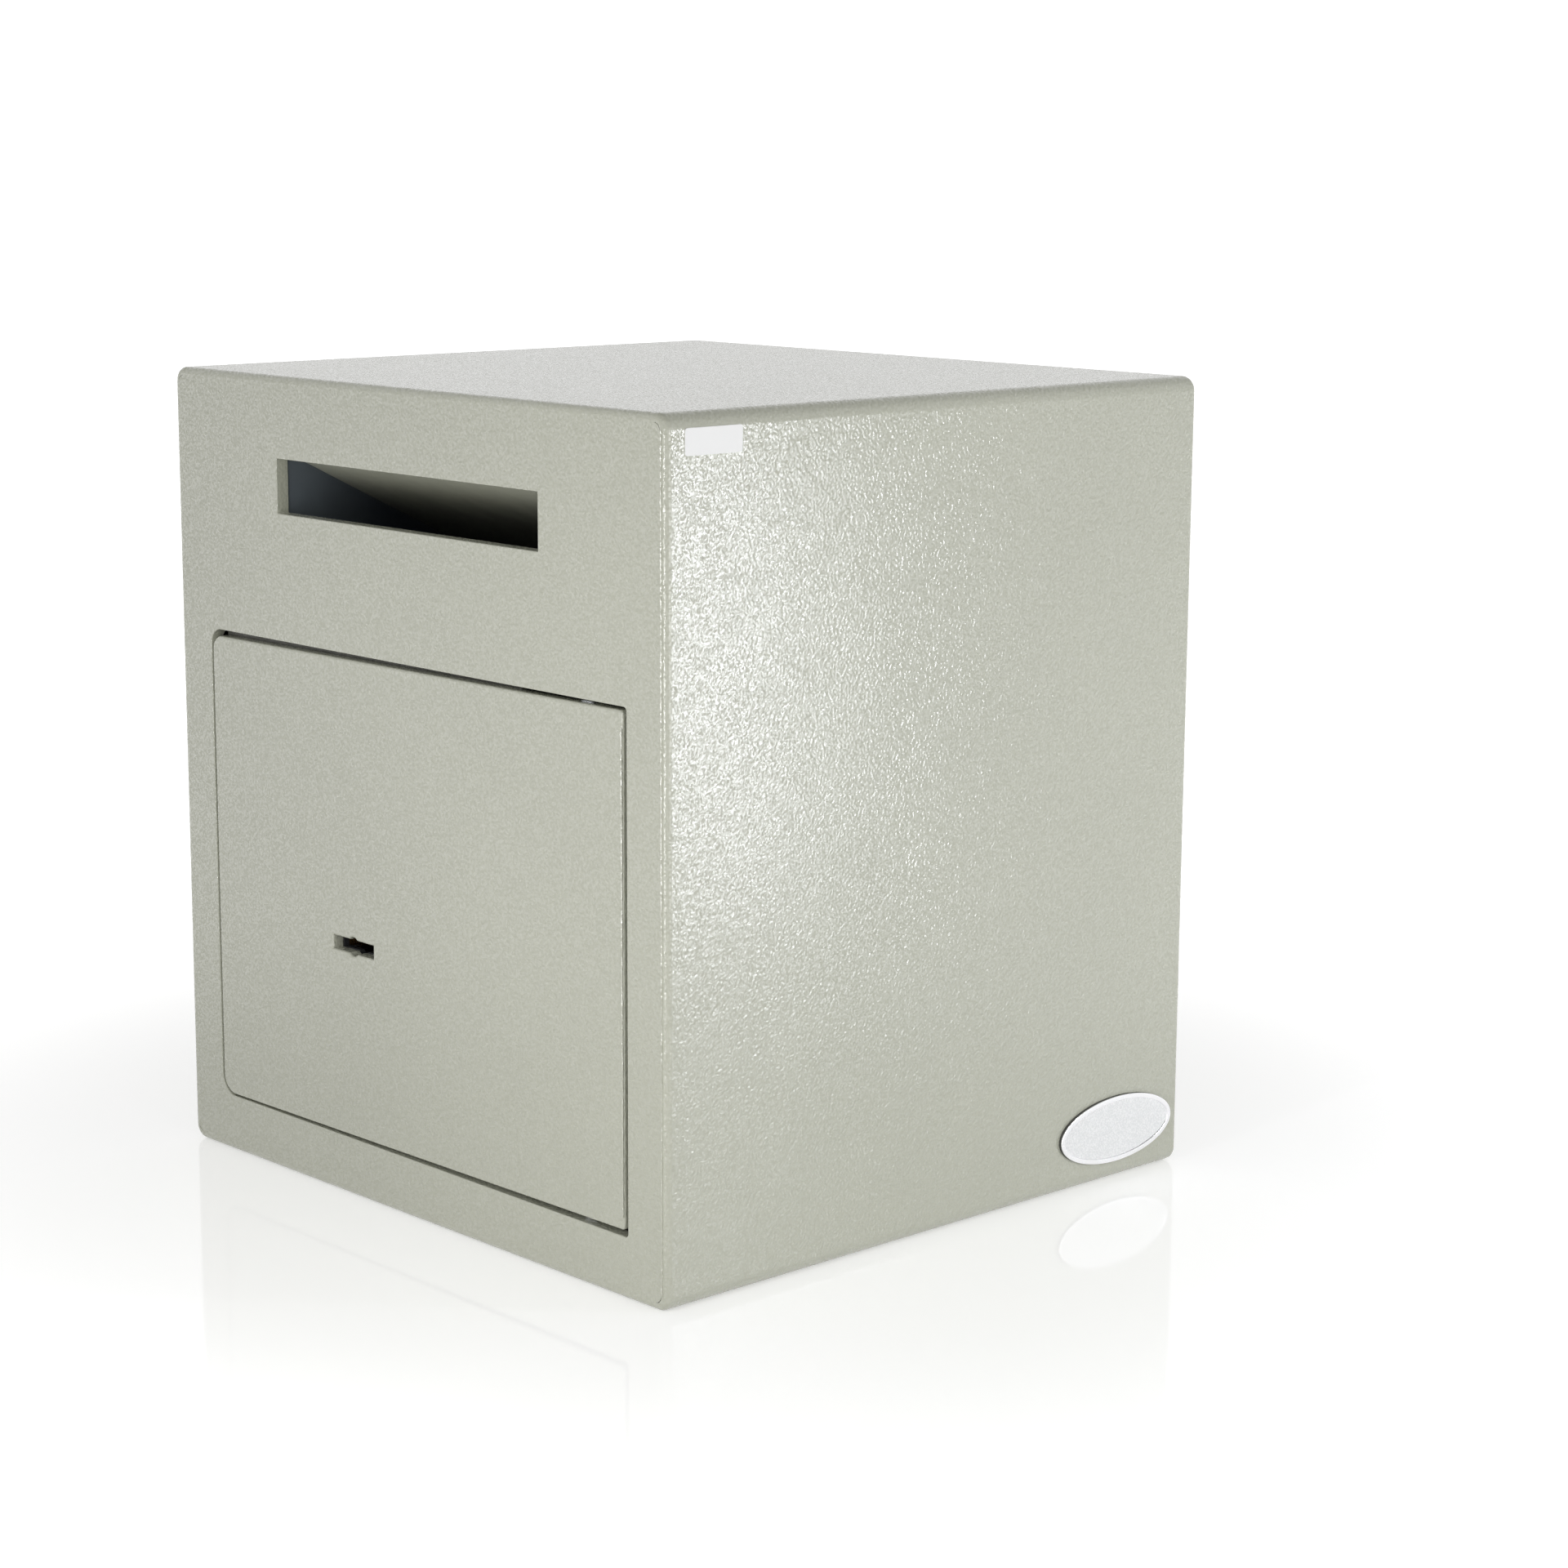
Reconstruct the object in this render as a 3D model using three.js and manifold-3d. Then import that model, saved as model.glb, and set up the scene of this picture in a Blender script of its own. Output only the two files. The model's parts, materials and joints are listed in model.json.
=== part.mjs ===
// Under-counter deposit safe: welded steel cabinet, sloping deposit chute, and a hinged door that
// carries a double-bitted key lock with two round bolts.
// Millimetres, +Z up. The origin is the centre of the base underside; the door faces -Y.
// The door is drawn closed with its bolts drawn back, so that it is free to open.

import * as THREE from "three";
import { mergeVertices } from "three/addons/utils/BufferGeometryUtils.js";
import Module from "manifold-3d";

const wasm = await Module();
wasm.setup();

// Cabinet
const width = 280;
const depth = 260;
const height = 300;
const wall = 3;
const bendRadius = 5.5;
const edgeRound = 2.5;
const rearThickness = 3;
const overrun = 1;
const weldSink = 0.5;
const plateThickness = 5;
const cornerRelief = 0.5;
const anchorHole = 12;
const anchorSpacing = 180;
const rearAnchorHeight = 150;

// Deposit slot and chute
const slotWidth = 150;
const slotHeight = 20;
const slotBelowTop = 30;
const chuteSheet = 2;
const chuteEase = 1;
const hoodSlope = 26.4;
const hoodReach = 98;
const hoodLip = 14;
const rampReach = 52;
const toothPitch = 10;
const toothDepth = 6;
const toothOverrun = 2;
const chuteFlange = 14;

// Door opening, door and the gaps round it
const sideMargin = 20;
const sillHeight = 22;
const lintelBelowTop = 97;
const freeTopCorner = 6;
const freeBottomCorner = 8;
const hingeCorner = 1.5;
const gapFreeSide = 0.8;
const gapHingeSide = 1.8;
const gapTopFree = 2.5;
const gapTopHinge = 1.2;
const gapBottomFree = 0.5;
const gapBottomHinge = 2;
const doorEdgeRound = 1;

// Hinge
const hingeInset = 28;
const hingeBehindFace = 9;
const pinDiameter = 5;
const collarDiameter = 7.4;
const pinClearance = 0.3;
const pinStandOut = 1.5;
const lugWidth = 16;
const lugHeight = 14;
const lugDepth = 9;
const lugSetback = 2;
const lugCorner = 2;
const lugEdgeCorner = 0.5;
const pinRootDepth = 1;
const bracketWidth = 24;
const bracketDepth = 15;
const bracketThickness = 4;
const bracketSetback = 2;
const gussetHeight = 9;
const gussetThickness = 2.5;
const gussetToeInset = 2;
const gussetToeHeight = 0.5;

// Door stops, hinge-side dog bar
const stopOverlap = 6;
const stopWeldWidth = 8;
const stopThickness = 3;
const stopEndGap = 4;
const stopHingeGap = 32;
const dogHeight = 60;
const dogThickness = 7;
const dogReach = 7;
const dogBase = 14;
const dogChamfer = 2;
const dogEdgeInset = 1;
const jambClearance = 0.8;

// Keyhole and lock
const keyInset = 86.5;
const keyAboveSill = 73;
const keyholeLength = 24.5;
const keyholeHeight = 5;
const keyholeBulge = 7;
const keyholeTrim = 0.5;
const caseLeft = 50;
const caseRight = 30;
const caseHalfHeight = 30;
const caseWall = 2;
const caseCorner = 3;
const coverThickness = 2;
const runGap = 0.3;
const bossRadius = 4.5;
const bossMargin = 1;
const screwDiameter = 4;
const screwHead = 7.2;
const screwHeadHeight = 2.5;
const screwHeadRound = 0.4;
const socketRadius = 1.7;
const socketLength = 4;
const socketRise = 0.4;
const leverCount = 5;
const leverThickness = 1.4;
const leverGap = 0.2;
const leverWindow = 12.8;
const leverRim = 4;
const leverPivotReach = 22;
const leverEye = 5;
const leverPostDiameter = 4.8;
const leverArmReach = 44;
const leverArmAbove = 7;
const leverArmBelow = 12;
const pocketDepth = 8.5;
const pocketEase = 0.8;
const gateEase = 0.1;
const springThickness = 0.5;
const springPoints = 11;
const springClear = 1;
const followerRadius = 8;
const followerDisc = 9.5;
const followerDiscThickness = 1.5;
const crankPin = 4;
const crankPinSetback = 1;
const ringWall = 1.9;
const ringLength = 2.5;

// Bolts
const boltThrow = 12;
const boltDiameter = 12;
const boltSpacing = 90;
const boltTipInset = 2;
const boltLength = 22;
const boltEndRound = 0.8;
const barThickness = 4;
const barFront = 1;
const barEnd = 1;
const barCorner = 2;
const threadDepth = 9;
const threadSpare = 1;
const lockBoltThickness = 5;
const lockBoltHalfHeight = 9;
const lockBoltTailHalfHeight = 13;
const yokeWall = 4;
const yokeEase = 0.35;
const yokeEndEase = 0.6;
const yokeCorner = 1;
const headSpare = 1.5;
const stumpReach = 23.5;
const stumpDiameter = 4;
const guideThickness = 3;
const guideSetback = 2.7;
const guideDepth = 14;
const footGap = 3;
const footHeight = 9.5;
const footReach = 12;

// Label places on the right side, both bare
const badgeLength = 61.6;
const badgeHeight = 25.2;
const badgeRim = 2;
const badgeThickness = 1.4;
const badgeRecess = 0.5;
const badgeBehindFace = 223.6;
const badgeCentre = 20.2;
const labelLength = 25;
const labelHeight = 9;
const labelThickness = 0.3;
const labelCorner = 1;
const labelBehindFace = 7.9;
const labelBelowTop = 5;

// Places that follow from the sizes above
const frontY = -depth / 2;
const plateBack = frontY + plateThickness;
const innerHalf = width / 2 - wall;
const slotTop = height - slotBelowTop;
const slotBottom = slotTop - slotHeight;
const opening = {
  free: -(width / 2 - sideMargin),
  hinge: width / 2 - sideMargin,
  bottom: sillHeight,
  top: height - lintelBelowTop,
};
const keyX = opening.free + keyInset;
const keyZ = opening.bottom + keyAboveSill;
const hingeX = opening.hinge - hingeInset;
const hingeY = frontY + hingeBehindFace;
const crankRadius = boltThrow / 2;
const crankLostMotion = 0.21 * crankRadius;

const caseFront = plateBack + caseWall;
const leverFront = caseFront + runGap;
const leverBack = leverFront + leverCount * leverThickness + (leverCount - 1) * leverGap;
const discFront = leverBack + runGap;
const discBack = discFront + followerDiscThickness;
const lockBoltFront = discBack + runGap;
const lockBoltBack = lockBoltFront + lockBoltThickness;
const coverFront = lockBoltBack + runGap;
const coverBack = coverFront + coverThickness;

const boltY = plateBack + barFront + boltDiameter / 2;
const boltTipX = opening.free + boltTipInset;
const barLeft = boltTipX + boltLength;
const barRight = barLeft + barThickness;
const barHalfHeight = boltSpacing / 2 + boltDiameter / 2 + barEnd;
const boltHeights = [keyZ + boltSpacing / 2, keyZ - boltSpacing / 2];

const paint = { color: 0xb6b9ac, roughness: 0.55, metalness: 0.05 };
const finishes = {
  paint: new THREE.MeshStandardMaterial(paint),
  chute: new THREE.MeshStandardMaterial({ color: 0x6b6f62, roughness: 0.6, metalness: 0.1 }),
  cheek: new THREE.MeshStandardMaterial({ color: 0x2b333b, roughness: 0.45, metalness: 0.4 }),
  steel: new THREE.MeshStandardMaterial({ color: 0x9a9c9e, roughness: 0.35, metalness: 0.9 }),
  zinc: new THREE.MeshStandardMaterial({ color: 0xb9bcc0, roughness: 0.3, metalness: 0.9 }),
  brass: new THREE.MeshStandardMaterial({ color: 0xb08d4a, roughness: 0.35, metalness: 0.9 }),
  lockCase: new THREE.MeshStandardMaterial({ color: 0x4a4c4e, roughness: 0.5, metalness: 0.6 }),
  badge: new THREE.MeshStandardMaterial({ color: 0xc9cbcd, roughness: 0.3, metalness: 0.8 }),
  label: new THREE.MeshStandardMaterial({ color: 0xf2f2ee, roughness: 0.5, metalness: 0 }),
};

// Outlines

/** Outline through the given corners, each turned with its own radius. */
function roundedOutline(corners, radii) {
  const shape = new THREE.Shape();
  corners.forEach((corner, i) => {
    const toBefore = corners.at(i - 1).clone().sub(corner).normalize();
    const toAfter = corners[(i + 1) % corners.length].clone().sub(corner).normalize();
    const half = Math.acos(toBefore.dot(toAfter)) / 2;
    const start = corner.clone().addScaledVector(toBefore, radii[i] / Math.tan(half));
    const end = corner.clone().addScaledVector(toAfter, radii[i] / Math.tan(half));
    const middle = toBefore.add(toAfter).normalize();
    const centre = corner.clone().addScaledVector(middle, radii[i] / Math.sin(half));
    const from = start.sub(centre).angle();
    shape.absarc(centre.x, centre.y, radii[i], from, end.sub(centre).angle(), false);
  });
  return shape;
}

function outlinePoints(pairs) {
  return pairs.map(([x, y]) => new THREE.Vector2(x, y));
}

function rectangle(left, right, bottom, top) {
  return outlinePoints([[left, bottom], [right, bottom], [right, top], [left, top]]);
}

function roundedRectangle(left, right, bottom, top, radius) {
  return roundedOutline(rectangle(left, right, bottom, top), [radius, radius, radius, radius]);
}

function circle(x, y, radius) {
  const shape = new THREE.Shape();
  for (let quarter = 0; quarter < 4; quarter += 1) {
    shape.absarc(x, y, radius, (quarter * Math.PI) / 2, ((quarter + 1) * Math.PI) / 2, false);
  }
  return shape;
}

/** A straight slot for a double-bitted key, with a round bulge for its stem. */
function keyholeOutline(length, slot, bulge) {
  const start = Math.asin(slot / bulge);
  const shape = new THREE.Shape();
  shape.moveTo(keyX - length / 2, keyZ + slot / 2);
  shape.lineTo(keyX - length / 2, keyZ - slot / 2);
  shape.absarc(keyX, keyZ, bulge / 2, Math.PI + start, 2 * Math.PI - start, false);
  shape.lineTo(keyX + length / 2, keyZ - slot / 2);
  shape.lineTo(keyX + length / 2, keyZ + slot / 2);
  shape.absarc(keyX, keyZ, bulge / 2, start, Math.PI - start, false);
  return shape;
}

/** Section of a bent sheet: one face as a row of points, the other at the sheet's thickness to its left. */
function sheetOutline(face, thickness) {
  const other = face.map((point, i) => {
    const ahead = i < face.length - 1 ? face[i + 1].clone().sub(point).normalize() : null;
    const behind = i > 0 ? point.clone().sub(face[i - 1]).normalize() : ahead;
    const onward = ahead ?? behind;
    const mitre = new THREE.Vector2(-(behind.y + onward.y), behind.x + onward.x).normalize();
    const squareness = mitre.y * behind.x - mitre.x * behind.y;
    return point.clone().addScaledVector(mitre, thickness / squareness);
  });
  return new THREE.Shape([...face, ...other.reverse()]);
}

// Solids

/** Each arc of the outline gets twice as many sides as the segments given. */
function extrude(shape, length, round = 0, segments = 3) {
  return new THREE.ExtrudeGeometry(shape, {
    depth: length - 2 * round,
    curveSegments: segments,
    bevelEnabled: round > 0,
    bevelThickness: round,
    bevelSize: round,
    bevelOffset: -round,
    bevelSegments: 3,
  }).translate(0, 0, round);
}

/** An outline in Y and Z, run along X. */
function alongX(shape, fromX, toX, round, segments) {
  const turn = new THREE.Matrix4().set(0, 0, 1, fromX, 1, 0, 0, 0, 0, 1, 0, 0, 0, 0, 0, 1);
  return extrude(shape, toX - fromX, round, segments).applyMatrix4(turn);
}

/** An outline in X and Z, run along Y. */
function alongY(shape, fromY, toY, round, segments) {
  const turn = new THREE.Matrix4().set(1, 0, 0, 0, 0, 0, -1, toY, 0, 1, 0, 0, 0, 0, 0, 1);
  return extrude(shape, toY - fromY, round, segments).applyMatrix4(turn);
}

/** An outline in X and Y, run along Z. */
function alongZ(shape, fromZ, toZ, round, segments) {
  return extrude(shape, toZ - fromZ, round, segments).translate(0, 0, fromZ);
}

function block(x0, x1, y0, y1, z0, z1) {
  const box = new THREE.BoxGeometry(x1 - x0, y1 - y0, z1 - z0);
  return box.translate((x0 + x1) / 2, (y0 + y1) / 2, (z0 + z1) / 2);
}

function toSolid(geometry) {
  const bare = geometry.clone();
  bare.deleteAttribute("normal");
  bare.deleteAttribute("uv");
  const merged = mergeVertices(bare);
  return new wasm.Manifold(new wasm.Mesh({
    numProp: 3,
    vertProperties: new Float32Array(merged.attributes.position.array),
    triVerts: new Uint32Array(merged.index.array),
  }));
}

function toGeometry(solid) {
  const mesh = solid.getMesh();
  const geometry = new THREE.BufferGeometry();
  geometry.setAttribute("position", new THREE.BufferAttribute(mesh.vertProperties, 3));
  geometry.setIndex(new THREE.BufferAttribute(mesh.triVerts, 1));
  geometry.computeVertexNormals();
  return geometry;
}

function joined(first, ...others) {
  return toGeometry(others.reduce((sum, other) => sum.add(toSolid(other)), toSolid(first)));
}

function cut(body, ...tools) {
  return toGeometry(tools.reduce((rest, tool) => rest.subtract(toSolid(tool)), toSolid(body)));
}

// Scene graph: the door turns in its own group, and the bolts, levers and follower in theirs

const safe = new THREE.Group();
const cabinet = new THREE.Group();
const door = new THREE.Group();
const boltwork = new THREE.Group();
const leverPack = new THREE.Group();
const follower = new THREE.Group();
door.position.set(hingeX, hingeY, 0);
leverPack.position.set(keyX + leverPivotReach - hingeX, -hingeY, keyZ);
follower.position.set(keyX - hingeX, -hingeY, keyZ);
door.add(boltwork, leverPack, follower);
safe.add(cabinet, door);

/** Name a piece drawn in the object's frame and hand it to the group that carries it. */
function addPiece(group, name, geometry, finish) {
  const piece = new THREE.Mesh(geometry, finishes[finish]);
  piece.name = name;
  group.attach(piece);
}

function buildCabinet() {
  const outside = roundedRectangle(-width / 2, width / 2, 0, height, bendRadius);
  const inside = roundedRectangle(-innerHalf, innerHalf, wall, height - wall, bendRadius - wall);
  const anchors = [-1, 1].map((side) => circle((side * anchorSpacing) / 2, 0, anchorHole / 2));
  const shell = cut(
    alongY(outside, frontY, -frontY, edgeRound, 4),
    alongY(inside, frontY - overrun, -frontY + overrun, 0, 4),
    ...anchors.map((hole) => alongZ(hole, -overrun, wall + overrun)),
  );
  addPiece(cabinet, "body_shell", shell, "paint");

  const plateCorner = bendRadius - wall + cornerRelief;
  const face = roundedRectangle(-innerHalf, innerHalf, wall, height - wall, plateCorner);
  const slot = new THREE.Shape(rectangle(-slotWidth / 2, slotWidth / 2, slotBottom, slotTop));
  const doorway = roundedOutline(
    rectangle(opening.free, opening.hinge, opening.bottom, opening.top),
    [freeBottomCorner, hingeCorner, hingeCorner, freeTopCorner],
  );
  face.holes = [slot, doorway];
  addPiece(cabinet, "front_plate", alongY(face, frontY, plateBack), "paint");

  const rear = roundedRectangle(-innerHalf, innerHalf, wall, height - wall, plateCorner);
  rear.holes = [-1, 1].map((side) => circle((side * anchorSpacing) / 2, rearAnchorHeight, anchorHole / 2));
  addPiece(cabinet, "rear_panel", alongY(rear, -frontY - rearThickness, -frontY), "paint");
}

function buildChute() {
  const inner = slotWidth / 2 + chuteEase;
  const slope = Math.tan(THREE.MathUtils.degToRad(hoodSlope));
  const hoodStart = slotTop + chuteEase + 1;
  const hoodEnd = new THREE.Vector2(plateBack + hoodReach, hoodStart - hoodReach * slope);
  const hoodFace = [
    new THREE.Vector2(plateBack, hoodStart + chuteFlange),
    new THREE.Vector2(plateBack, hoodStart),
    hoodEnd,
    new THREE.Vector2(hoodEnd.x, hoodEnd.y - hoodLip),
  ];
  const half = inner - runGap;
  addPiece(cabinet, "chute_hood", alongX(sheetOutline(hoodFace, chuteSheet), -half, half), "chute");

  const rampStart = slotBottom - chuteEase;
  const rampEnd = plateBack + rampReach;
  const rampFace = [
    new THREE.Vector2(plateBack, rampStart - chuteFlange),
    new THREE.Vector2(plateBack, rampStart),
    new THREE.Vector2(rampEnd, rampStart - rampReach * slope),
  ];
  const ramp = alongX(sheetOutline(rampFace.toReversed(), chuteSheet), -half, half);
  const teeth = Math.floor((2 * half) / toothPitch);
  const notches = Array.from({ length: teeth }, (unused, i) => {
    const x = (i - (teeth - 1) / 2) * toothPitch;
    const notch = new THREE.Shape([
      new THREE.Vector2(x, rampEnd - toothDepth),
      new THREE.Vector2(x + toothPitch / 2, rampEnd + toothOverrun),
      new THREE.Vector2(x - toothPitch / 2, rampEnd + toothOverrun),
    ]);
    return alongZ(notch, rampStart - rampReach * slope - 3 * chuteSheet, rampStart);
  });
  addPiece(cabinet, "chute_ramp", cut(ramp, ...notches), "chute");

  const cheekTop = hoodStart + chuteFlange;
  const cheekBottom = rampStart - chuteFlange;
  const cheek = new THREE.Shape([
    new THREE.Vector2(plateBack, cheekBottom),
    new THREE.Vector2(rampEnd, cheekBottom - rampReach * slope),
    new THREE.Vector2(hoodEnd.x + chuteSheet, hoodEnd.y - hoodLip),
    new THREE.Vector2(hoodEnd.x + chuteSheet, hoodEnd.y + 2 * chuteSheet),
    new THREE.Vector2(plateBack + chuteFlange, cheekTop),
    new THREE.Vector2(plateBack, cheekTop),
  ]);
  for (const [name, side] of [["chute_cheek_left", -1], ["chute_cheek_right", 1]]) {
    const edges = [side * inner, side * (inner + chuteSheet)].sort((a, b) => a - b);
    const tab = [side * inner, side * (inner + chuteFlange)].sort((a, b) => a - b);
    const weldTab = block(...tab, plateBack, plateBack + chuteSheet, cheekBottom, cheekTop);
    addPiece(cabinet, name, joined(alongX(cheek, ...edges), weldTab), "cheek");
  }
}

function buildDoorSeat() {
  const stopLeft = opening.free + stopEndGap;
  const stopRight = hingeX - stopHingeGap;
  const stopBack = plateBack + stopThickness;
  const strips = [
    ["door_stop_top", opening.top - stopOverlap, opening.top + stopWeldWidth],
    ["door_stop_bottom", opening.bottom - stopWeldWidth, opening.bottom + stopOverlap],
  ];
  for (const [name, low, high] of strips) {
    addPiece(cabinet, name, block(stopLeft, stopRight, plateBack, stopBack, low, high), "paint");
  }
}

/** Bracket, lug and pin for one end of the door; side is 1 at the top and -1 at the bottom. */
function buildHinge(name, side, openingEdge, doorEdge) {
  const span = (from, to) => [openingEdge + side * from, openingEdge + side * to].sort((a, b) => a - b);
  const tab = span(bracketSetback, bracketSetback + bracketThickness);
  const outline = new THREE.Shape(rectangle(
    hingeX - bracketWidth / 2, hingeX + bracketWidth / 2, plateBack, plateBack + bracketDepth,
  ));
  outline.holes = [circle(hingeX, hingeY, pinDiameter / 2 + pinClearance)];
  const gussetRoot = openingEdge + side * (bracketSetback + bracketThickness);
  const gusset = new THREE.Shape([
    new THREE.Vector2(plateBack, gussetRoot - side * gussetToeHeight),
    new THREE.Vector2(plateBack + bracketDepth - gussetToeInset, gussetRoot - side * gussetToeHeight),
    new THREE.Vector2(plateBack + bracketDepth - gussetToeInset, gussetRoot + side * gussetToeHeight),
    new THREE.Vector2(plateBack, gussetRoot + side * gussetHeight),
  ]);
  const outer = bracketWidth / 2;
  const gussets = [-outer, outer - gussetThickness].map((x) => (
    alongX(gusset, hingeX + x, hingeX + x + gussetThickness)
  ));
  addPiece(cabinet, `hinge_bracket_${name}`, joined(alongZ(outline, ...tab), ...gussets), "steel");

  const lugEnd = doorEdge - side * lugSetback;
  const lugRoot = lugEnd - side * lugHeight;
  const lugOutline = roundedOutline(
    rectangle(hingeX - lugWidth / 2, hingeX + lugWidth / 2, plateBack, plateBack + lugDepth),
    [lugEdgeCorner, lugEdgeCorner, lugCorner, lugCorner],
  );
  lugOutline.holes = [circle(hingeX, hingeY, pinDiameter / 2 + runGap / 2)];
  const lug = alongZ(lugOutline, Math.min(lugEnd, lugRoot), Math.max(lugEnd, lugRoot));
  addPiece(door, `hinge_lug_${name}`, lug, "steel");

  const shank = pinDiameter / 2;
  const collar = collarDiameter / 2;
  const tabFace = openingEdge + side * (bracketSetback - runGap);
  const pinTip = openingEdge + side * (bracketSetback + bracketThickness + pinStandOut);
  const profile = [
    [0, lugRoot + side * pinRootDepth], [shank, lugRoot + side * pinRootDepth],
    [shank, lugEnd + side * runGap], [collar, lugEnd + side * runGap],
    [collar, tabFace], [shank, tabFace], [shank, pinTip], [0, pinTip],
  ];
  const turned = outlinePoints(side > 0 ? profile : profile.toReversed());
  const pin = new THREE.LatheGeometry(turned, 24).rotateX(Math.PI / 2);
  pin.translate(hingeX, hingeY, 0);
  addPiece(door, `hinge_pin_${name}`, pin, "zinc");
}

function buildDoor() {
  const left = opening.free + gapFreeSide;
  const right = opening.hinge - gapHingeSide;
  const corners = [
    [left, opening.bottom + gapBottomFree], [right, opening.bottom + gapBottomHinge],
    [right, opening.top - gapTopHinge], [left, opening.top - gapTopFree],
  ];
  const radii = [freeBottomCorner - gapFreeSide, hingeCorner, hingeCorner, freeTopCorner - gapFreeSide];
  const outline = roundedOutline(outlinePoints(corners), radii);
  outline.holes = [keyholeOutline(keyholeLength, keyholeHeight, keyholeBulge)];
  addPiece(door, "door_plate", alongY(outline, frontY, plateBack, doorEdgeRound), "paint");

  buildHinge("top", 1, opening.top, opening.top - gapTopHinge);
  buildHinge("bottom", -1, opening.bottom, opening.bottom + gapBottomHinge);

  const dogStep = plateBack + jambClearance;
  const dogProfile = new THREE.Shape([
    new THREE.Vector2(right - dogBase, plateBack),
    new THREE.Vector2(right - doorEdgeRound - dogEdgeInset, plateBack),
    new THREE.Vector2(right - doorEdgeRound - dogEdgeInset, dogStep),
    new THREE.Vector2(opening.hinge + dogReach, dogStep),
    new THREE.Vector2(opening.hinge + dogReach, dogStep + dogThickness - dogChamfer),
    new THREE.Vector2(opening.hinge + dogReach - dogChamfer, dogStep + dogThickness),
    new THREE.Vector2(right - dogBase, dogStep + dogThickness),
  ]);
  const doorMiddle = (opening.bottom + opening.top) / 2;
  const dog = alongZ(dogProfile, doorMiddle - dogHeight / 2, doorMiddle + dogHeight / 2);
  addPiece(door, "hinge_side_dog", dog, "steel");

  const guideLeft = opening.free + gapFreeSide + guideSetback;
  const guideRight = guideLeft + guideThickness;
  const footInner = barHalfHeight + footGap;
  const guideHalf = footInner + footHeight;
  const guideFace = new THREE.Shape(rectangle(
    plateBack, plateBack + guideDepth, keyZ - guideHalf, keyZ + guideHalf,
  ));
  guideFace.holes = boltHeights.map((z) => circle(boltY, z, boltDiameter / 2 + pinClearance));
  const feet = [[footInner, guideHalf], [-guideHalf, -footInner]].map(([low, high]) => (
    block(guideLeft, guideRight + footReach, plateBack, plateBack + guideThickness, keyZ + low, keyZ + high)
  ));
  addPiece(door, "bolt_guide", joined(alongX(guideFace, guideLeft, guideRight), ...feet), "steel");
}

function buildLockCase() {
  const left = keyX - caseLeft;
  const right = keyX + caseRight;
  const low = keyZ - caseHalfHeight;
  const high = keyZ + caseHalfHeight;
  const bossInset = bossRadius + bossMargin;
  const bossPlaces = [
    [left + bossInset, high - bossInset], [right - bossInset, high - bossInset],
    [left + bossInset, low + bossInset], [right - bossInset, low + bossInset],
  ];
  const clearance = screwDiameter / 2 + pinClearance;
  const keySlot = keyholeOutline(keyholeLength - 2 * keyholeTrim, keyholeHeight - keyholeTrim, keyholeBulge);
  const ring = circle(keyX, keyZ, followerRadius + runGap + ringWall);
  ring.holes = [circle(keyX, keyZ, followerRadius + runGap)];
  const boltWindow = block(
    left - overrun, left + caseWall + overrun, lockBoltFront - runGap, coverFront + overrun,
    keyZ - lockBoltHalfHeight - runGap, keyZ + lockBoltHalfHeight + runGap,
  );
  const hollow = roundedRectangle(
    left + caseWall, right - caseWall, low + caseWall, high - caseWall, caseCorner - caseWall,
  );
  const tray = cut(
    alongY(roundedRectangle(left, right, low, high, caseCorner), plateBack, coverFront),
    alongY(hollow, caseFront, coverFront + overrun),
  );
  const bosses = bossPlaces.map(([x, z]) => (
    alongY(circle(x, z, bossRadius), caseFront - weldSink, coverFront, 0, 2)
  ));
  const withBosses = joined(tray, ...bosses, alongY(ring, caseFront - weldSink, caseFront + ringLength));
  const lockCase = cut(
    withBosses, boltWindow, alongY(keySlot, plateBack - overrun, caseFront + ringLength + overrun),
    ...bossPlaces.map(([x, z]) => (
      alongY(circle(x, z, clearance), plateBack - overrun, coverFront + overrun, 0, 2)
    )),
  );
  addPiece(door, "lock_case", lockCase, "lockCase");

  const cover = roundedRectangle(left, right, low, high, caseCorner);
  cover.holes = bossPlaces.map(([x, z]) => circle(x, z, clearance));
  addPiece(door, "lock_cover", alongY(cover, coverFront, coverBack), "zinc");

  bossPlaces.forEach(([x, z], i) => {
    const radius = screwHead / 2;
    const socket = new THREE.CylinderGeometry(socketRadius, socketRadius, socketLength, 6);
    socket.translate(x, coverBack + screwHeadHeight + socketRise, z);
    const screw = joined(
      alongY(circle(x, z, screwDiameter / 2), plateBack + runGap, coverBack + overrun, 0, 2),
      alongY(circle(x, z, radius), coverBack, coverBack + screwHeadHeight, screwHeadRound, 2),
    );
    addPiece(door, `lock_screw_${i + 1}`, cut(screw, socket), "zinc");
  });

  const postSection = circle(keyX + leverPivotReach, keyZ, leverPostDiameter / 2);
  const post = alongY(postSection, caseFront, lockBoltFront, 0, 2);
  addPiece(door, "lever_post", post, "steel");
}

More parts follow.
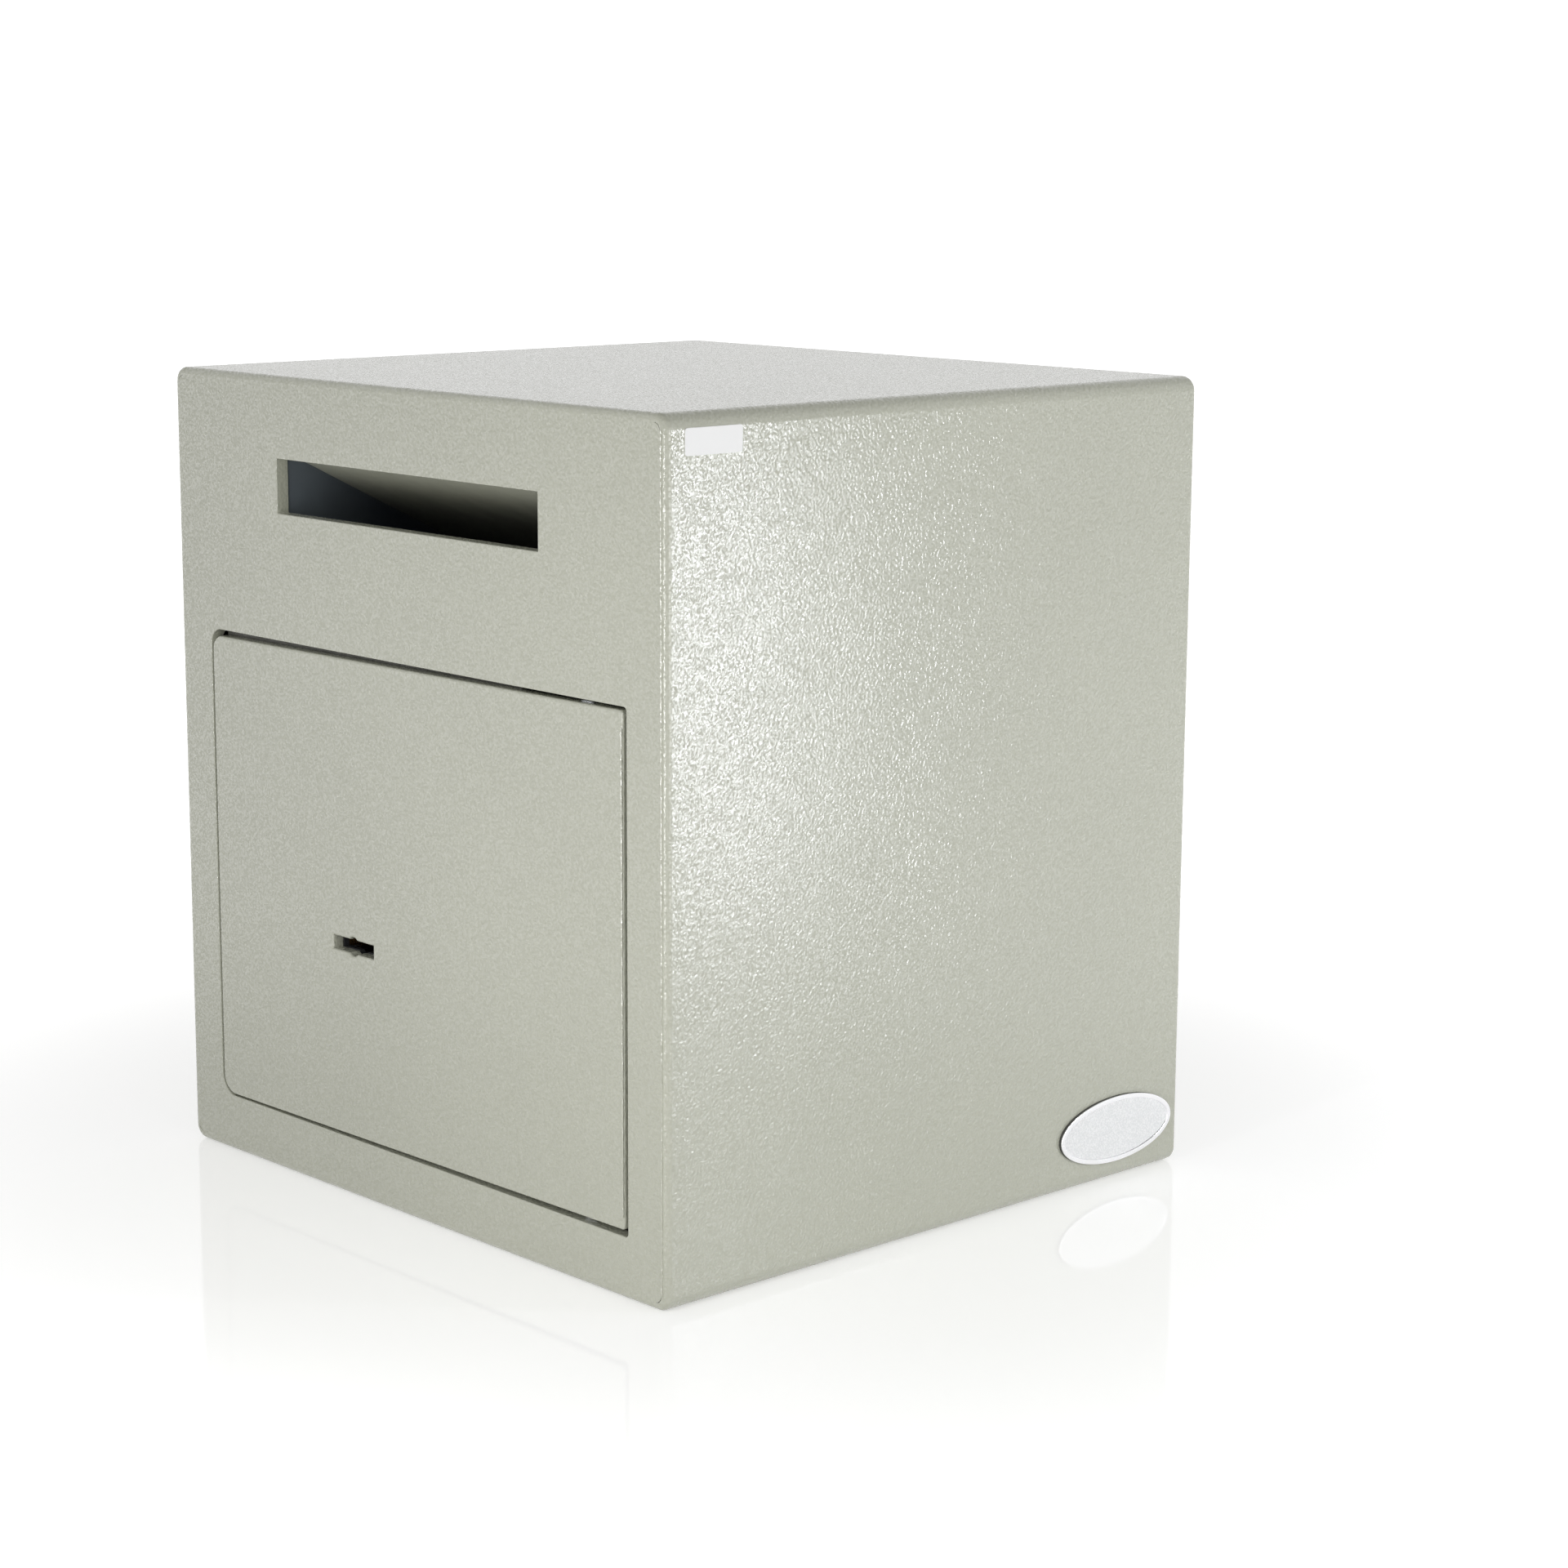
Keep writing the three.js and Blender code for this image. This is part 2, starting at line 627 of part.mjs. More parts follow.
function leverOutline() {
  const pivot = leverPivotReach;
  const rim = leverWindow + leverRim;
  const joinAngle = Math.asin(leverEye / rim);
  const armAngle = Math.asin(leverArmAbove / rim);
  const armLowAngle = Math.asin(leverArmBelow / rim);
  const shape = new THREE.Shape();
  shape.absarc(keyX, keyZ, rim, joinAngle, Math.PI - armAngle, false);
  shape.lineTo(keyX - leverArmReach, keyZ + leverArmAbove);
  shape.lineTo(keyX - leverArmReach, keyZ - leverArmBelow);
  shape.absarc(keyX, keyZ, rim, Math.PI + armLowAngle, 2 * Math.PI - joinAngle, false);
  shape.absarc(keyX + pivot, keyZ, leverEye, -Math.PI / 2, Math.PI / 2, false);

  const slack = stumpDiameter / 2 + runGap + gateEase;
  const rest = keyX - stumpReach;
  const thrown = rest - boltThrow;
  const reach = slack + pocketEase;
  const gate = [
    [thrown - reach, keyZ - pocketDepth], [thrown + reach, keyZ - pocketDepth],
    [thrown + reach, keyZ - slack], [rest - reach, keyZ - slack],
    [rest - reach, keyZ - pocketDepth], [rest + reach, keyZ - pocketDepth],
    [rest + reach, keyZ + slack], [thrown - reach, keyZ + slack],
  ];
  shape.holes = [
    circle(keyX, keyZ, leverWindow),
    circle(keyX + pivot, keyZ, leverPostDiameter / 2 + pinClearance),
    new THREE.Shape(outlinePoints(gate)),
  ];
  return shape;
}

function buildLevers() {
  for (let i = 0; i < leverCount; i += 1) {
    const front = leverFront + i * (leverThickness + leverGap);
    addPiece(leverPack, `lever_${i + 1}`, alongY(leverOutline(), front, front + leverThickness), "brass");
  }

  const springTop = keyZ + caseHalfHeight - caseWall - runGap;
  const springLow = keyZ + leverArmAbove + runGap + springThickness;
  const middle = keyX - stumpReach - boltThrow / 2;
  const halfSpan = leverArmReach - stumpReach - boltThrow / 2 - bossRadius - springClear;
  const leaf = Array.from({ length: springPoints }, (unused, i) => {
    const t = (2 * i) / (springPoints - 1) - 1;
    return new THREE.Vector2(middle - t * halfSpan, springLow + (springTop - springLow) * t * t);
  });
  const spring = alongY(sheetOutline(leaf, springThickness), leverFront, leverBack);
  addPiece(door, "lever_spring", spring, "zinc");
}

function buildFollower() {
  const barrel = alongY(circle(keyX, keyZ, followerRadius), leverFront, discFront + weldSink);
  const disc = alongY(circle(keyX, keyZ, followerDisc), discFront, discBack);
  const crankSection = circle(keyX + crankRadius, keyZ, crankPin / 2);
  const crank = alongY(crankSection, discBack - weldSink, lockBoltBack - crankPinSetback, 0, 2);
  const slotSection = keyholeOutline(keyholeLength, keyholeHeight - keyholeTrim, keyholeBulge - keyholeTrim);
  const keySlot = alongY(slotSection, leverFront - overrun, discFront);
  addPiece(follower, "key_follower", joined(cut(barrel, keySlot), disc, crank), "brass");
}

function buildBoltwork() {
  const headEnd = keyX - caseLeft + caseWall + boltThrow + headSpare;
  const yokeHalf = crankPin / 2 + crankLostMotion + yokeEase;
  const yokeX = keyX + crankRadius;
  const yokeEnd = yokeX + yokeHalf + yokeWall;
  const outline = new THREE.Shape(outlinePoints([
    [barRight, keyZ - lockBoltHalfHeight], [headEnd, keyZ - lockBoltHalfHeight],
    [headEnd, keyZ - lockBoltTailHalfHeight], [yokeEnd, keyZ - lockBoltTailHalfHeight],
    [yokeEnd, keyZ + lockBoltHalfHeight], [barRight, keyZ + lockBoltHalfHeight],
  ]));
  const yokeLow = keyZ - crankRadius - crankPin / 2 - yokeEndEase;
  const yokeHigh = keyZ + crankPin / 2 + yokeEndEase;
  outline.holes = [roundedRectangle(yokeX - yokeHalf, yokeX + yokeHalf, yokeLow, yokeHigh, yokeCorner)];
  const stumpSection = circle(keyX - stumpReach, keyZ, stumpDiameter / 2);
  const stump = alongY(stumpSection, leverFront, lockBoltFront + weldSink, 0, 2);
  addPiece(boltwork, "lock_bolt", joined(alongY(outline, lockBoltFront, lockBoltBack), stump), "brass");

  const threadRadius = screwDiameter / 2 + pinClearance;
  const barFace = roundedRectangle(
    plateBack + barFront, lockBoltBack, keyZ - barHalfHeight, keyZ + barHalfHeight, barCorner,
  );
  barFace.holes = boltHeights.map((z) => circle(boltY, z, threadRadius));
  addPiece(boltwork, "bolt_bar", alongX(barFace, barLeft, barRight), "steel");

  boltHeights.forEach((z, i) => {
    const name = ["upper", "lower"][i];
    const bolt = cut(
      alongX(circle(boltY, z, boltDiameter / 2), boltTipX, barLeft, boltEndRound),
      alongX(circle(boltY, z, threadRadius), barLeft - threadDepth, barLeft + overrun, 0, 2),
    );
    addPiece(boltwork, `round_bolt_${name}`, bolt, "zinc");
    const screwTip = barLeft - threadDepth + threadSpare;
    const screw = joined(
      alongX(circle(boltY, z, screwDiameter / 2), screwTip, barRight + overrun, 0, 2),
      alongX(circle(boltY, z, screwHead / 2), barRight, barRight + screwHeadHeight, screwHeadRound, 2),
    );
    addPiece(boltwork, `bar_screw_${name}`, screw, "zinc");
  });
}

function buildSideMarks() {
  const side = width / 2;
  const badgeY = frontY + badgeBehindFace;
  const oval = (inset) => new THREE.Shape().absellipse(
    badgeY, badgeCentre, badgeLength / 2 - inset, badgeHeight / 2 - inset, 0, 2 * Math.PI, false,
  );
  const badge = cut(
    alongX(oval(0), side, side + badgeThickness, 0, 24),
    alongX(oval(badgeRim), side + badgeThickness - badgeRecess, side + badgeThickness + overrun, 0, 24),
  );
  addPiece(cabinet, "side_badge", badge, "badge");

  const labelStart = frontY + labelBehindFace;
  const labelTop = height - labelBelowTop;
  const label = roundedRectangle(
    labelStart, labelStart + labelLength, labelTop - labelHeight, labelTop, labelCorner,
  );
  addPiece(cabinet, "side_label", alongX(label, side, side + labelThickness), "label");
}

buildCabinet();
buildChute();
buildDoorSeat();
buildDoor();
buildLockCase();
buildLevers();
buildFollower();
buildBoltwork();
buildSideMarks();

export default safe;
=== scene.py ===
"""Looks of a small under-counter deposit safe.

The cabinet, front plate and door are modelled over the fixed frame with soft painted edges.
The lock and hinge pieces keep their own solids and get worked metal finishes.
"""

from __future__ import annotations

import json
import logging
import math
import random
from collections.abc import Callable, Iterator
from contextlib import contextmanager
from dataclasses import dataclass, field
from enum import Enum

import bmesh
import bpy
from mathutils import Matrix, Vector


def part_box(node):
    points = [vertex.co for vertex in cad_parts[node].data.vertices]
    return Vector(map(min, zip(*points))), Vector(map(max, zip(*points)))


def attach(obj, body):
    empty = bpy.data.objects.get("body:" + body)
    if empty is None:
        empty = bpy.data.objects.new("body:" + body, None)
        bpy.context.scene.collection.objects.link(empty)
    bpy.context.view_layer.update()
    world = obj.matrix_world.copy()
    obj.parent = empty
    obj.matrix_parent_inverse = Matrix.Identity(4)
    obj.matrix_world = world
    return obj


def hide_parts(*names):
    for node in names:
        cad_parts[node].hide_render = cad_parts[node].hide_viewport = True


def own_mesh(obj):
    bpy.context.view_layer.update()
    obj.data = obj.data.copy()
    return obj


log = logging.getLogger("deposit_safe")

MM = 0.001
Pair = tuple[float, float]
Triple = tuple[float, float, float]
Colour = Triple
Inputs = dict[str | int, object]
Piece = bpy.types.Object
Material = bpy.types.Material
Socket = bpy.types.NodeSocket
Edge = bmesh.types.BMEdge

X_AXIS, Y_AXIS, Z_AXIS = 0, 1, 2

# Distance, shares and angles that pick faces and edges
SAME_PLACE = 0.01 * MM
NEARLY_PARALLEL = 0.999
SHARP_TURN = math.radians(40)
SMOOTH_TURN = math.radians(35)
UPRIGHT = 0.1

# Height of a paint ridge against its mean, at its thinnest and thickest
THIN_PAINT, THICK_PAINT = 0.6, 1.15

# How far a cutter runs past the face that it enters
PAST_PLATE = 10 * MM
PAST_SHEET = 8 * MM
PAST_KEYHOLE = 5 * MM


class Body(Enum):
    """The bodies that pieces ride on."""

    CABINET = "cabinet"
    DOOR = "door"


class Slot(Enum):
    """Material slots of the record."""

    PAINT = "cabinet_paint"
    CHUTE = "chute_paint"
    CHEEK = "dark_sheet"
    STEEL = "mild_steel"
    ZINC = "zinc_plate"
    BRASS = "lock_brass"
    CASE = "lock_case_finish"
    BADGE = "badge_metal"
    LABEL = "label_film"


def linear(colour: Colour) -> tuple[float, float, float, float]:
    """Turn display colour values from 0 to 1 into linear ones with alpha.

    Args:
        colour: Red, green and blue as a picture shows them.

    Returns:
        The same colour as a shader socket takes it.
    """
    parts = [c / 12.92 if c <= 0.04045 else ((c + 0.055) / 1.055) ** 2.4 for c in colour]
    return (parts[0], parts[1], parts[2], 1.0)


class Signal:
    """A number made by a shader node. Arithmetic on it adds Math nodes."""

    def __init__(self, graph: Graph, socket: Socket) -> None:
        """Keep the graph and the socket that gives the number."""
        self.graph = graph
        self.socket = socket

    def _math(self, operation: str, first: object, second: object) -> Signal:
        """Add one Math node and return what it gives."""
        node = self.graph.node("ShaderNodeMath", {"operation": operation}, {0: first, 1: second})
        return Signal(self.graph, node.outputs[0])

    def __add__(self, other: object) -> Signal:
        """Add a number or a signal."""
        return self._math("ADD", self, other)

    def __sub__(self, other: object) -> Signal:
        """Take away a number or a signal."""
        return self._math("SUBTRACT", self, other)

    def __rsub__(self, other: object) -> Signal:
        """Take away from a number."""
        return self._math("SUBTRACT", other, self)

    def __mul__(self, other: object) -> Signal:
        """Multiply by a number or a signal."""
        return self._math("MULTIPLY", self, other)

    def __pow__(self, power: float) -> Signal:
        """Raise to a power."""
        return self._math("POWER", self, power)

    def above(self, level: float, softness: float) -> Signal:
        """Rise from 0 to 1 over a soft step.

        Args:
            level: Value at which the step starts.
            softness: Width of the step.

        Returns:
            A signal between 0 and 1.
        """
        node = self.graph.node(
            "ShaderNodeMapRange",
            {"interpolation_type": "SMOOTHSTEP"},
            {"Value": self, "From Min": level, "From Max": level + softness},
        )
        return Signal(self.graph, node.outputs["Result"])


class Graph:
    """The node tree of one material or world."""

    def __init__(self, owner: Material | bpy.types.World) -> None:
        """Start an empty tree with an output.

        Args:
            owner: The material or world.
        """
        self.owner = owner
        owner.use_nodes = True
        self.tree = owner.node_tree
        self.tree.nodes.clear()
        kind = "World" if isinstance(owner, bpy.types.World) else "Material"
        self.output = self.tree.nodes.new(f"ShaderNodeOutput{kind}")
        self.place = self.node("ShaderNodeTexCoord", {}, {}).outputs["Object"]

    @classmethod
    def of_material(cls, name: str) -> Graph:
        """Start the tree of a new material."""
        return cls(bpy.data.materials.new(name))

    def ray(self, kind: str) -> Signal:
        """Give 1 on rays of one kind, such as Is Camera Ray."""
        return Signal(self, self.node("ShaderNodeLightPath", {}, {}).outputs[kind])

    def node(self, kind: str, settings: dict[str, object], inputs: Inputs) -> bpy.types.Node:
        """Add one node.

        Args:
            kind: The node's type.
            settings: Properties, set before the sockets.
            inputs: Values, signals or sockets by input name or number.

        Returns:
            The new node.
        """
        made = self.tree.nodes.new(kind)
        for key, value in settings.items():
            setattr(made, key, value)
        for key, value in inputs.items():
            if isinstance(value, Signal):
                self.tree.links.new(value.socket, made.inputs[key])
            elif isinstance(value, Socket):
                self.tree.links.new(value, made.inputs[key])
            else:
                made.inputs[key].default_value = value
        return made

    def mapped(self, scale: Triple = (1.0, 1.0, 1.0), turn: Triple = (0.0, 0.0, 0.0)) -> Socket:
        """Give object coordinates turned and stretched along the axes."""
        inputs: Inputs = {"Vector": self.place, "Scale": scale, "Rotation": turn}
        return self.node("ShaderNodeMapping", {}, inputs).outputs[0]

    def part(self, vector: Socket, axis: int) -> Signal:
        """Give one coordinate of a vector."""
        return Signal(self, self.node("ShaderNodeSeparateXYZ", {}, {0: vector}).outputs[axis])

    def noise(self, scale: float, detail: float, place: Socket | None = None) -> Signal:
        """Give fractal noise between 0 and 1.

        Args:
            scale: Grains to the metre.
            detail: Octaves.
            place: Coordinates to read, the object's own if left out.

        Returns:
            The noise as a signal.
        """
        where = self.place if place is None else place
        inputs: Inputs = {"Vector": where, "Scale": scale, "Detail": detail}
        return Signal(self, self.node("ShaderNodeTexNoise", {}, inputs).outputs[0])

    def blend(self, factor: Signal, low: Colour, high: Colour) -> Socket:
        """Mix two display colours by a signal."""
        inputs: Inputs = {"Factor": factor, 6: linear(low), 7: linear(high)}
        return self.node("ShaderNodeMix", {"data_type": "RGBA"}, inputs).outputs[2]

    def bump(self, height: Signal, strength: float, distance: float) -> Socket:
        """Turn a height signal into a normal."""
        inputs: Inputs = {"Height": height, "Strength": strength, "Distance": distance}
        return self.node("ShaderNodeBump", {}, inputs).outputs["Normal"]

    def close(self, shader: bpy.types.Node) -> None:
        """Lead a shader to the output."""
        self.tree.links.new(shader.outputs[0], self.output.inputs["Surface"])

    def surface(self, inputs: Inputs) -> Material:
        """Close the material with one Principled shader."""
        self.close(self.node("ShaderNodeBsdfPrincipled", {}, inputs))
        return self.owner


@dataclass(frozen=True)
class PowderCoat:
    """Baked powder paint with an orange peel.

    Attributes:
        name: Material name.
        colour: Display colour of clean paint.
        roughness: Mean roughness.
        peel: Depth of the peel in metres.
        grain: Peel cells to the metre.
        drift: How far the tone drifts over the panel, from 0 to 1.
        gloss: Weight of the clear skin on the crests of the peel.
        peel_turn: Turn of the peel against the faces, so that its cells don't line up.
        drift_cells: Cells of the drifting tone to the metre.
        fleck_cells: Cells of the fine flecks to the metre.
        wear_cells: Cells of the roughness to the metre.
        wear: How far the roughness swings.
        crest_cells: Cells of the glossy crests to the metre.
        crest_turn: Their turn against the faces.
        skin_roughness: Roughness of the clear skin.
        skin_index: Refractive index of the clear skin.
        fleck_step: Noise level where a fleck starts, and the width of its edge.
        fleck_share: How much of the tone comes from the flecks.
        crest_step: Noise level where a crest starts, and the width of its edge.
    """

    name: str
    colour: Colour
    roughness: float = 0.15
    peel: float = 0.19 * MM
    grain: float = 900.0
    drift: float = 0.03
    gloss: float = 0.9
    peel_turn: Triple = (0.6, 0.45, 0.9)
    drift_cells: float = 9.0
    fleck_cells: float = 2600.0
    wear_cells: float = 45.0
    wear: float = 0.06
    crest_cells: float = 1200.0
    crest_turn: Triple = (0.9, 0.6, 0.45)
    skin_roughness: float = 0.26
    skin_index: float = 1.65
    fleck_step: Pair = (0.62, 0.12)
    fleck_share: float = 0.2
    crest_step: Pair = (0.48, 0.08)

    def material(self) -> Material:
        """Build the material.

        Returns:
            The new material.
        """
        graph = Graph.of_material(self.name)
        peel = graph.noise(self.grain, detail=0.0, place=graph.mapped(turn=self.peel_turn))
        drift = graph.noise(self.drift_cells, detail=3.0)
        fleck = graph.noise(self.fleck_cells, detail=1.0).above(*self.fleck_step)
        cells = graph.noise(self.crest_cells, detail=0.0, place=graph.mapped(turn=self.crest_turn))
        crest = cells.above(*self.crest_step)
        shade = tuple(c * (1 - self.drift) for c in self.colour)
        light = tuple(min(1.0, c * (1 + self.drift)) for c in self.colour)
        tone = drift * (1 - self.fleck_share) + fleck * self.fleck_share
        smoothest = self.roughness - self.wear / 2
        return graph.surface({
            "Base Color": graph.blend(tone, shade, light),
            "Roughness": graph.noise(self.wear_cells, detail=3.0) * self.wear + smoothest,
            "Coat Weight": crest * self.gloss,
            "Coat Roughness": self.skin_roughness,
            "Coat IOR": self.skin_index,
            "Normal": graph.bump(peel, strength=1.0, distance=self.peel),
        })


@dataclass(frozen=True)
class OversprayAndShade:
    """Dark sheet inside the slot, where the paint gun reached only the front; its fade to a darker colour
    deeper in also paints the shade inside the slot.

    Attributes:
        name: Material name.
        sprayed: Display colour next to the slot.
        bare_and_shade: Display colour further in, of bare sheet darkened to paint the shade deep in the slot.
        start: Depth along Y where the paint is full and the painted shade begins, in metres.
        reach: How far the paint thins out, and the painted shade deepens, behind it.
        cloud_cells: Cells of the spray's clouds to the metre.
        cloud_swing: How far a cloud moves the paint's end.
        grit_cells: Cells of the dry spray to the metre.
        grit: Depth of the dry spray.
        smoothest: Lowest roughness.
        dryness: Roughness that a cloud adds.
    """

    name: str
    sprayed: Colour
    bare_and_shade: Colour
    start: float = -0.125
    reach: float = 0.05
    cloud_cells: float = 70.0
    cloud_swing: float = 12 * MM
    grit_cells: float = 900.0
    grit: float = 0.1 * MM
    smoothest: float = 0.32
    dryness: float = 0.2

    def material(self) -> Material:
        """Build the material.

        Returns:
            The new material.
        """
        graph = Graph.of_material(self.name)
        cloud = graph.noise(self.cloud_cells, detail=4.0)
        # The colour darkens with depth along Y: partly the overspray's end, partly painted shade inside the
        # slot.
        depth = graph.part(graph.place, Y_AXIS) + cloud * self.cloud_swing - self.cloud_swing / 2
        return graph.surface({
            "Base Color": graph.blend(depth.above(self.start, self.reach), self.sprayed, self.bare_and_shade),
            "Roughness": cloud * self.dryness + self.smoothest,
            "Normal": graph.bump(
                graph.noise(self.grit_cells, detail=2.0), strength=0.4, distance=self.grit
            ),
        })


@dataclass(frozen=True)
class RolledSteel:
    """Bare worked metal with streaks along one axis.

    Attributes:
        name: Material name.
        colour: Display colour of the clean metal.
        stain: Display colour of oil and handling marks.
        roughness: Mean roughness.
        streak: Stretch of the grain along X, Y and Z.
        grain_cells: Cells of the grain to the metre, across its streaks.
        mark_cells: Cells of the handling marks to the metre.
        scratch: Depth of the grain.
        mark_step: Noise level where a mark starts, and the width of its edge.
        mark_share: How much of the tone comes from the marks.
        polish: How far the smoothest metal lies under the mean roughness.
        grain_roughness: Roughness that the grain adds.
        mark_roughness: Roughness that a mark adds.
    """

    name: str
    colour: Colour
    stain: Colour
    roughness: float = 0.36
    streak: Triple = (1.0, 1.0, 0.06)
    grain_cells: float = 1500.0
    mark_cells: float = 65.0
    scratch: float = 0.06 * MM
    mark_step: Pair = (0.5, 0.25)
    mark_share: float = 0.7
    polish: float = 0.12
    grain_roughness: float = 0.18
    mark_roughness: float = 0.14

    def material(self) -> Material:
        """Build the material.

        Returns:
            The new material.
        """
        graph = Graph.of_material(self.name)
        grain = graph.noise(self.grain_cells, detail=3.0, place=graph.mapped(self.streak))
        marks = graph.noise(self.mark_cells, detail=5.0).above(*self.mark_step)
        tone = marks * self.mark_share + grain * (1 - self.mark_share)
        worn = grain * self.grain_roughness + marks * self.mark_roughness
        return graph.surface({
            "Base Color": graph.blend(tone, self.colour, self.stain),
            "Metallic": 1.0,
            "Roughness": worn + (self.roughness - self.polish),
            "Normal": graph.bump(grain, strength=0.35, distance=self.scratch),
        })


@dataclass(frozen=True)
class FrostedSilver:
    """Field of the blank badge: silver film, with fine glints painted into its colour.

    Attributes:
        name: Material name.
        dull: Display colour of the frost.
        bright: Display colour of the glints painted on it.
        frost_cells: Cells of the frost to the metre.
        frost: Depth of the frost.
        painted_glint_step: Noise level where a painted glint starts, and the width of its edge.
        smoothest: Lowest roughness.
        dullness: Roughness that the frost adds.
    """

    name: str = "badge_field"
    dull: Colour = (0.9, 0.905, 0.905)
    bright: Colour = (0.97, 0.97, 0.97)
    frost_cells: float = 1700.0
    frost: float = 0.12 * MM
    painted_glint_step: Pair = (0.35, 0.4)
    smoothest: float = 0.35
    dullness: float = 0.2

    def material(self) -> Material:
        """Build the material.

        Returns:
            The new material.
        """
        graph = Graph.of_material(self.name)
        frost = graph.noise(self.frost_cells, detail=1.0)
        # Lighter specks in the base colour are painted glints on the frost.
        return graph.surface({
            "Base Color": graph.blend(frost.above(*self.painted_glint_step), self.dull, self.bright),
            "Roughness": frost * self.dullness + self.smoothest,
            "Normal": graph.bump(frost, strength=0.8, distance=self.frost),
        })


@dataclass(frozen=True)
class BlankFilm:
    """Plain white label film.

    Attributes:
        name: Material name.
        shaded: Display colour of the film's darker clouds.
        white: Display colour of its lighter clouds.
        cloud_cells: Clouds to the metre.
        fibre_cells: Fibres to the metre.
        fibre: Depth of the fibres.
        smoothest: Lowest roughness.
        dullness: Roughness that the fibres add.
    """

    name: str = "label_film"
    shaded: Colour = (0.93, 0.93, 0.925)
    white: Colour = (0.95, 0.95, 0.945)
    cloud_cells: float = 60.0
    fibre_cells: float = 1400.0
    fibre: float = 0.03 * MM
    smoothest: float = 0.34
    dullness: float = 0.12

    def material(self) -> Material:
        """Build the material.

        Returns:
            The new material.
        """
        graph = Graph.of_material(self.name)
        fibre = graph.noise(self.fibre_cells, detail=3.0)
        cloud = graph.noise(self.cloud_cells, detail=3.0)
        return graph.surface({
            "Base Color": graph.blend(cloud, self.shaded, self.white),
            "Roughness": fibre * self.dullness + self.smoothest,
            "Normal": graph.bump(fibre, strength=0.2, distance=self.fibre),
        })


@dataclass
class Finishes:
    """Every finish of the safe, built once.

    Attributes:
        paint: The coat on all that shows from outside.
        primer_and_gap_shade: Thin primer on the stops inside, darkened to paint the shade seen through the
            door's gaps.
        chute: Overspray on the hood and the ramp, darker deeper in, partly painted shade inside the slot.
        cheek: Overspray on the chute's cheeks, darker deeper in, partly painted shade inside the slot.
        steel: Hinges, dog bar and bolt bar.
        zinc: Bolts, screws, pins, the lock's cover and its spring.
        brass: Levers and lock bolt.
        keyhole_shade: The follower, in steel darkened to paint the shade inside the keyhole.
        case: Stoved black of the lock case.
        rim: Bright rim of the badge.
        frost: Its field.
        pad: Its dark foam pad on the upright wall, dark also to paint the shadow at the badge's edge.
        film: The label.
    """

    paint: Material = field(init=False)
    primer_and_gap_shade: Material = field(init=False)
    chute: Material = field(init=False)
    cheek: Material = field(init=False)
    steel: Material = field(init=False)
    zinc: Material = field(init=False)
    brass: Material = field(init=False)
    keyhole_shade: Material = field(init=False)
    case: Material = field(init=False)
    rim: Material = field(init=False)
    frost: Material = field(init=False)
    pad: Material = field(init=False)
    film: Material = field(init=False)

    def __post_init__(self) -> None:
        """Build the materials."""
        self.paint = PowderCoat("pebble_powder_coat", (0.718, 0.723, 0.664)).material()
        # Dark primer on the stops, darkened to paint the shade seen through the door's gaps.
        self.primer_and_gap_shade = PowderCoat(
            "inner_primer_and_gap_shade", (0.36, 0.36, 0.335), roughness=0.42, drift=0.06, gloss=0.2
        ).material()
        # Chute and cheeks darken deeper in: overspray, and painted shade inside the slot.
        self.chute = OversprayAndShade("chute_overspray_and_shade", (0.78, 0.785, 0.72), (0.4, 0.405, 0.375)).material()
        self.cheek = OversprayAndShade("cheek_overspray_and_shade", (0.38, 0.41, 0.44), (0.2, 0.22, 0.25)).material()
        self.steel = RolledSteel("mild_steel", (0.62, 0.62, 0.63), (0.42, 0.4, 0.37)).material()
        self.zinc = RolledSteel("zinc_plate", (0.8, 0.81, 0.83), (0.74, 0.74, 0.7), roughness=0.26).material()
        self.brass = RolledSteel(
            "lock_brass", (0.66, 0.55, 0.36), (0.42, 0.34, 0.2), roughness=0.32, streak=(0.1, 1.0, 1.0)
        ).material()
        # Steel darkened to paint the shade inside the keyhole.
        self.keyhole_shade = RolledSteel(
            "keyhole_shade_steel", (0.3, 0.29, 0.27), (0.16, 0.15, 0.13), roughness=0.4
        ).material()
        self.case = PowderCoat(
            "lock_case_black", (0.2, 0.205, 0.21),
            roughness=0.4, peel=0.08 * MM, grain=1400.0, drift=0.15, gloss=0.3,
        ).material()
        self.rim = RolledSteel(
            "badge_rim", (0.96, 0.96, 0.97), (0.9, 0.9, 0.9), roughness=0.24, streak=(1.0, 0.3, 1.0)
        ).material()
        self.frost = FrostedSilver().material()
        # Dark wall of the badge: a foam pad, and painted shadow at its edge.
        self.pad = PowderCoat(
            "badge_pad_and_shadow", (0.3, 0.3, 0.29), roughness=0.6, peel=0.05 * MM, grain=2000.0, drift=0.1, gloss=0.0
        ).material()
        self.film = BlankFilm().material()


def deselect() -> None:
    """Leave nothing selected."""
    bpy.ops.object.select_all(action="DESELECT")


def activate(piece: Piece) -> None:
    """Make one piece the only selected and active one.

    Args:
        piece: The piece.
    """
    deselect()
    piece.select_set(True)
    bpy.context.view_layer.objects.active = piece


@contextmanager
def editing(piece: Piece, mode: str = "EDGE") -> Iterator[bmesh.types.BMesh]:
    """Open a piece in edit mode with nothing selected.

    Args:
        piece: The mesh object.
        mode: VERT, EDGE or FACE.

    Yields:
        The mesh being edited.
    """
    activate(piece)
    bpy.ops.object.mode_set(mode="EDIT")
    bpy.ops.mesh.select_mode(type=mode)
    bpy.ops.mesh.select_all(action="DESELECT")
    mesh = bmesh.from_edit_mesh(piece.data)
    yield mesh
    bpy.ops.object.mode_set(mode="OBJECT")


